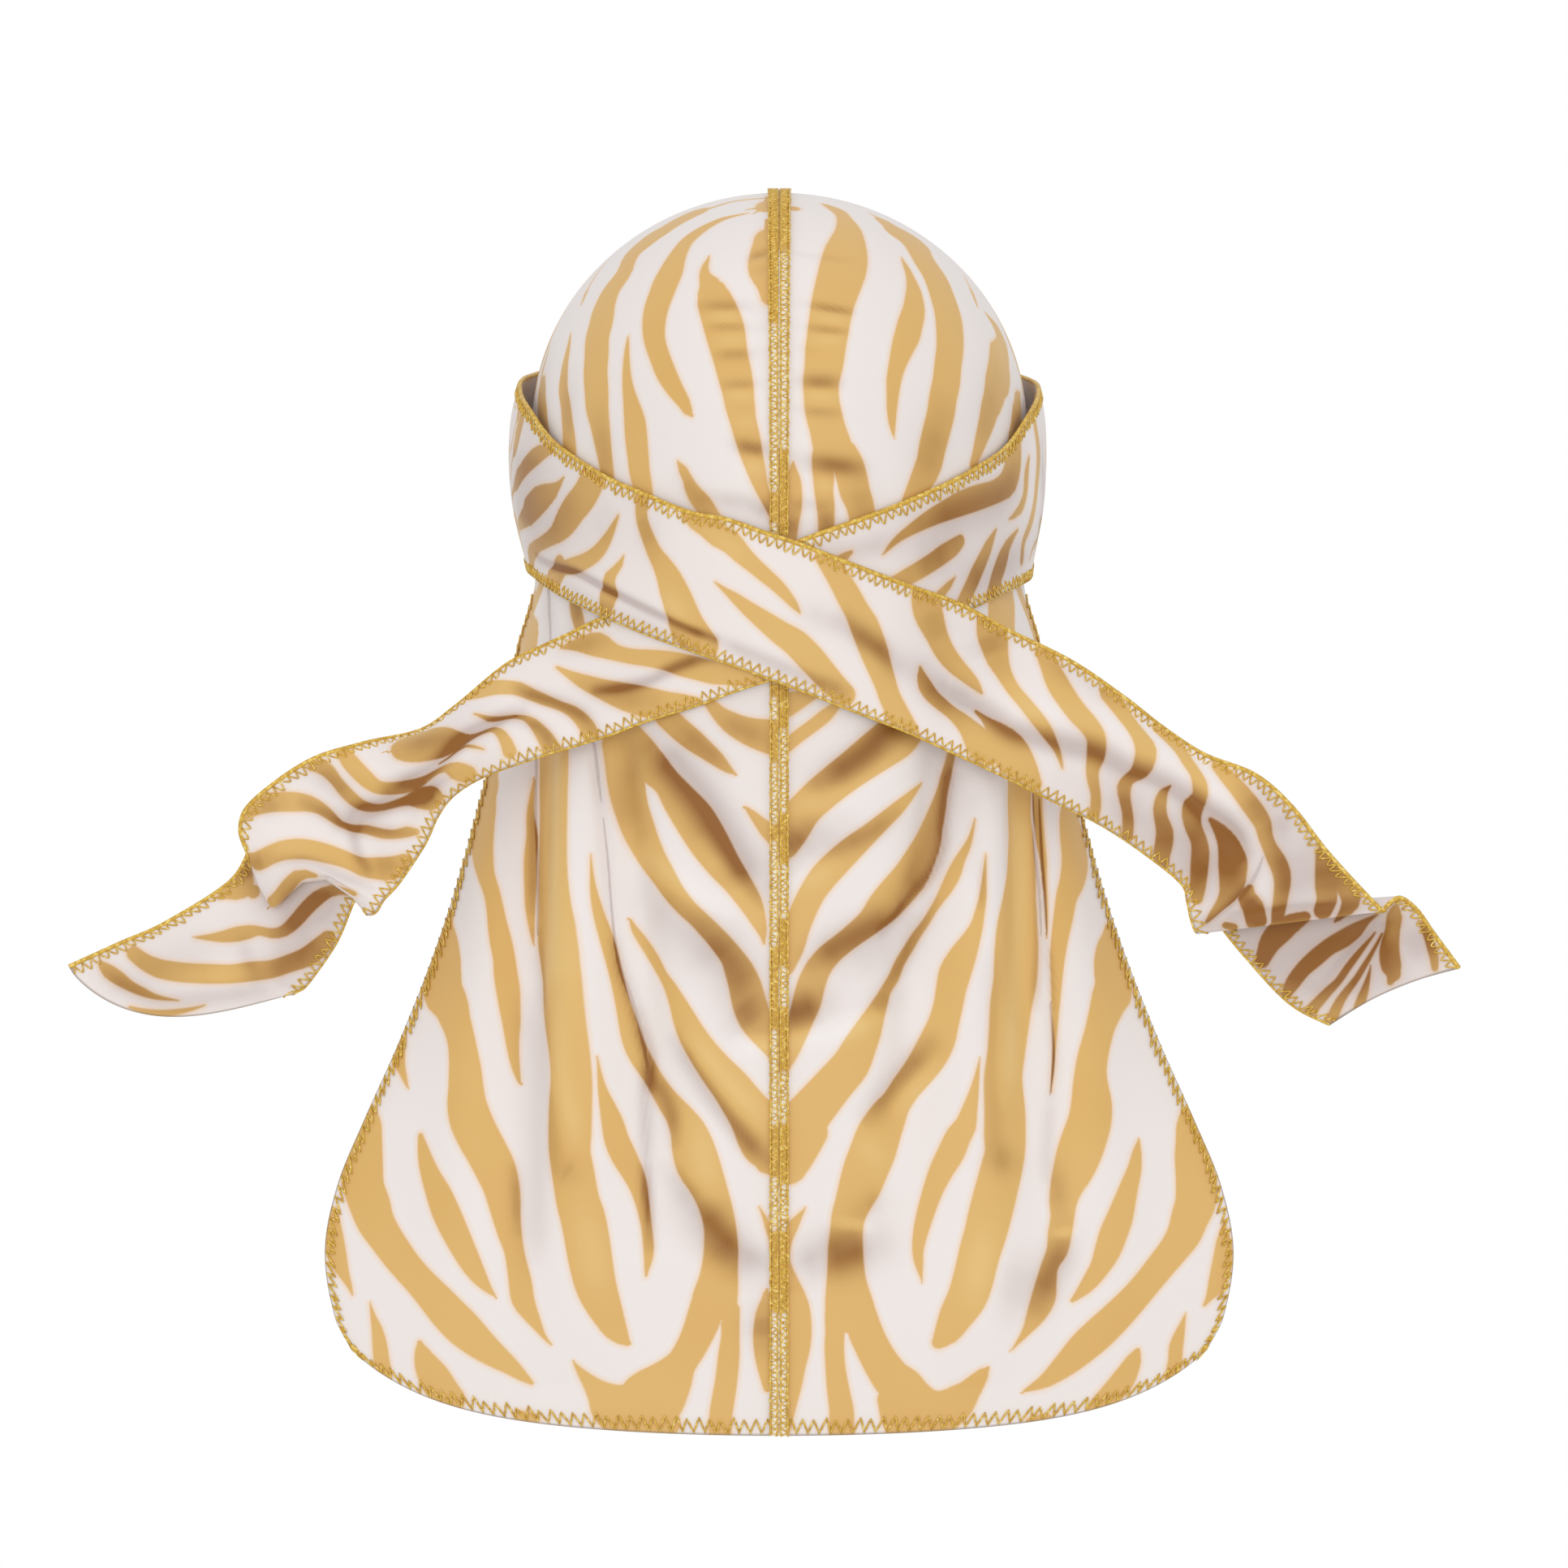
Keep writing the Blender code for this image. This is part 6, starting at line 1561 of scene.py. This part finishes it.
def runStitches(piece, places, inward, outward, material, **sizes):
    # one path with its two directions goes through the tree; the threads are gathered under the piece's name
    data = bpy.data.meshes.new("path")
    data.from_pydata((places * mm).tolist(), [(k, k + 1) for k in range(len(places) - 1)], [])
    for key, values in (("inward", inward), ("outward", outward)):
        layer = data.attributes.new(key, "FLOAT_VECTOR", "POINT")
        layer.data.foreach_set("vector", values.astype(np.float32).reshape(-1))
    carrier = addObject("path", data)
    modifier = carrier.modifiers.new("stitches", "NODES")
    modifier.node_group = edgeStitch
    for item in edgeStitch.interface.items_tree:
        if item.in_out == "INPUT" and item.socket_type == "NodeSocketFloat":
            size = sizes.get(item.name, item.default_value)
            modifier[item.identifier] = size * (1.0 if item.name in ("Round", "Wander") else mm)
        elif item.in_out == "INPUT" and item.socket_type == "NodeSocketMaterial":
            modifier[item.identifier] = material
    made = bpy.data.meshes.new_from_object(carrier.evaluated_get(bpy.context.evaluated_depsgraph_get()))
    bpy.data.objects.remove(carrier, do_unlink=True)
    stitchRuns.setdefault(piece, []).append(made)


def gatherStitches(piece):
    shape = bmesh.new()
    materials = []
    for made in stitchRuns[piece]:
        shape.from_mesh(made)
        materials = list(made.materials) or materials
    data = bpy.data.meshes.new(piece)
    shape.to_mesh(data)
    shape.free()
    for material in materials:
        data.materials.append(material)
    return addObject(piece, data)


tieTrim = {
    "cord": {"Pitch": 8.0, "Depth": 0.0, "Thread": 0.85, "Lift": 0.15, "Wander": 0.0},
    "loops": {"Pitch": 2.8, "Depth": 3.3, "Thread": 0.27, "Lift": 0.75, "Round": 0.75, "Wander": 0.16},
    "lowCord": {"Pitch": 8.0, "Depth": 0.0, "Thread": 0.5, "Lift": 0.1, "Wander": 0.0},
    "lowStitch": {"Pitch": 2.95, "Depth": 3.3, "Thread": 0.27, "Lift": 0.7, "Round": 0.15, "Wander": 0.14},
}


def trimTie(piece, grid, normals, places, hiddenTop, hiddenLow):
    # the stretches that lie under the other tie are left bare
    for column, (first, last), looks in ((0, hiddenTop, ("cord", "loops")),
                                         (-1, hiddenLow, ("lowCord", "lowStitch"))):
        shown = np.where((places < first) | (places > last))[0]
        for rows in np.split(shown, np.where(np.diff(shown) > 1)[0] + 1):
            edge = grid[rows, column]
            inward = unit(grid[rows, 1 if column == 0 else -2] - edge)
            for look in looks:
                runStitches(piece, edge, inward, normals[rows, column], goldStitch, **tieTrim[look])


# from which of its sections to which each edge lies hidden
noneHidden, rightHiddenTop, rightHiddenLow = (99, 99), (16.3, 21.6), (13.2, 17.9)
trimTie("left_tie_stitches", leftTieGrid, leftTieNormals, leftTiePlaces, noneHidden, noneHidden)
trimTie("right_tie_stitches", rightTieGrid, rightTieNormals, rightTiePlaces, rightHiddenTop, rightHiddenLow)

# the cape's stitches start below topZ, inset from the edge; where the edge turns away they take up to
# turnGain more
capeEdge = {"topZ": -54.0, "inset": 0.6, "turnGain": 1.7}
capeTrim = {"Pitch": 3.45, "Depth": 4.3, "Thread": 0.32, "Lift": 0.35, "Round": 0.1, "Wander": 0.13}
for front, side in ((leftFront, -1), (rightFront, 1)):
    normals = gridNormals(front, -side)
    rows = [k for k in range(panelLook["crownRows"], len(front)) if front[k, -1, 2] < capeEdge["topZ"]]
    # down the outer side, then along the hem to the seam
    edge, inside, outward = (
        np.concatenate([grid[rows, column], grid[row, -2::-1]])
        for grid, column, row in ((front, -1, -1), (front, -2, -2), (normals, -1, -1)))
    inward = unit(inside - edge)
    edge += inward * capeEdge["inset"]
    inward *= np.clip(1.0 / np.abs(outward[:, 1:2]), 1.0, capeEdge["turnGain"])
    runStitches("cape_edge_stitches", edge, inward, outward, goldStitch, **capeTrim)

seamTrim = {
    "dense": {"Pitch": 1.5, "Depth": 2.7, "Thread": 0.28, "Lift": 0.0, "Round": 0.3, "Wander": 0.2},
    "open": {"Pitch": 1.9, "Depth": 2.6, "Thread": 0.25, "Lift": 0.0, "Round": 0.9, "Wander": 0.25},
    "beads": {"Pitch": 2.0, "Depth": 0.3, "Thread": 0.3, "Lift": 0.0, "Round": 0.5, "Wander": 0.5},
}
# the stretch behind the crossing, and the front edge under the ties, carry none
seamShown = (seamRun > seamSize["shownFrom"]) & (
    (seamLine[:, 2] > seamSize["tieTop"]) | (seamLine[:, 2] < seamSize["tieLow"]))
# each column of threads has its look, the stretches that carry it, and how far out from the middle it starts
for side in (-1, 1):
    printed = seamPrinted(seamLine, side) > 0.5
    for look, chosen, aside in (("dense", printed, 0.4), ("open", ~printed, 0.5), ("beads", seamShown, 0.45),
                                ("beads", seamShown, 3.15)):
        rows = np.where(seamShown & chosen)[0]
        for run in np.split(rows, np.where(np.diff(rows) > 1)[0] + 1):
            if len(run) > 2:
                sideways = seamHalf(seamLine[run, 2:]) / seamSize["halfWidth"] * (side, 0.0, 0.0)
                base = (seamLine[run] + sideways * aside
                        + seamOut[run] * seamProud[run, None] * seamSize["threadSeat"])
                runStitches("seam_stitches", base, sideways, seamOut[run], goldStitch, **seamTrim[look])
trims = {name: gatherStitches(name) for name in stitchRuns}
print("stitches made:", {name: len(piece.data.polygons) for name, piece in trims.items()})

# what each piece stands for
for piece, node, slot in (
        (leftPanel, "left_panel", "striped_satin"), (rightPanel, "right_panel", "striped_satin"),
        (seamRidge, "centre_seam", "seam_thread"), (leftTie, "left_tie", "tie_satin"),
        (rightTie, "right_tie", "tie_satin")):
    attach(piece, "root")
    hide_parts(node)
for piece in trims.values():
    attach(piece, "root")

# floor, light and background, in metres: each light has its place, what it points at, its size and its power
studio = {"floorHeight": -0.5, "floorReach": 2.5, "floorBehind": 0.85, "paperRoughness": 0.9, "world": 0.75}
lamps = {
    "key": ((-0.8, -1.6, 0.15), (0, 0, -0.1), 1.3, 2.6),
    "fill": ((0.9, -1.6, 0.1), (0, 0, -0.1), 1.3, 2.3),
    "front": ((0, -2.3, -0.05), (0, 0, -0.12), 1.6, 5.6),
    "top": ((0, -0.2, 1.4), (0, 0, 0), 1.0, 1.6),
}


def makeFloor():
    z, reach, behind = studio["floorHeight"], studio["floorReach"], studio["floorBehind"]
    data = bpy.data.meshes.new("floor")
    data.from_pydata([(-reach, -reach, z), (reach, -reach, z), (reach, behind, z), (-reach, behind, z)], [],
                     [(0, 1, 2, 3)])
    # Matt seamless studio paper, plain and pale.
    material, tree, shader = newMaterial("studio_paper")
    feedNode(tree, shader, {"Base Color": tones["floor"], "Roughness": studio["paperRoughness"]})
    data.materials.append(material)
    addObject("floor", data)


def softLight(name, place, target, size, power):
    data = bpy.data.lights.new(name, "AREA")
    data.shape = "DISK"
    data.size = size
    data.energy = power
    lamp = addObject(name, data)
    lamp.location = place
    lamp.rotation_euler = (Vector(target) - Vector(place)).to_track_quat("-Z", "Y").to_euler()


def setWorld():
    # white to the camera, softer as light
    world = bpy.data.worlds.new("studio")
    world.use_nodes = True
    tree = world.node_tree
    seen = addNode(tree, "ShaderNodeLightPath").outputs["Is Camera Ray"]
    strength = addNode(tree, "ShaderNodeMapRange", {},
                       {"Value": seen, "To Min": studio["world"], "To Max": 1.0})
    feedNode(tree, tree.nodes["Background"], {"Strength": strength, "Color": (1.0, 1.0, 1.0, 1.0)})
    bpy.context.scene.world = world
    bpy.context.scene.view_settings.view_transform = "Standard"


makeFloor()
for name, (place, target, size, power) in lamps.items():
    softLight(name, place, target, size, power)
setWorld()
print("studio set")
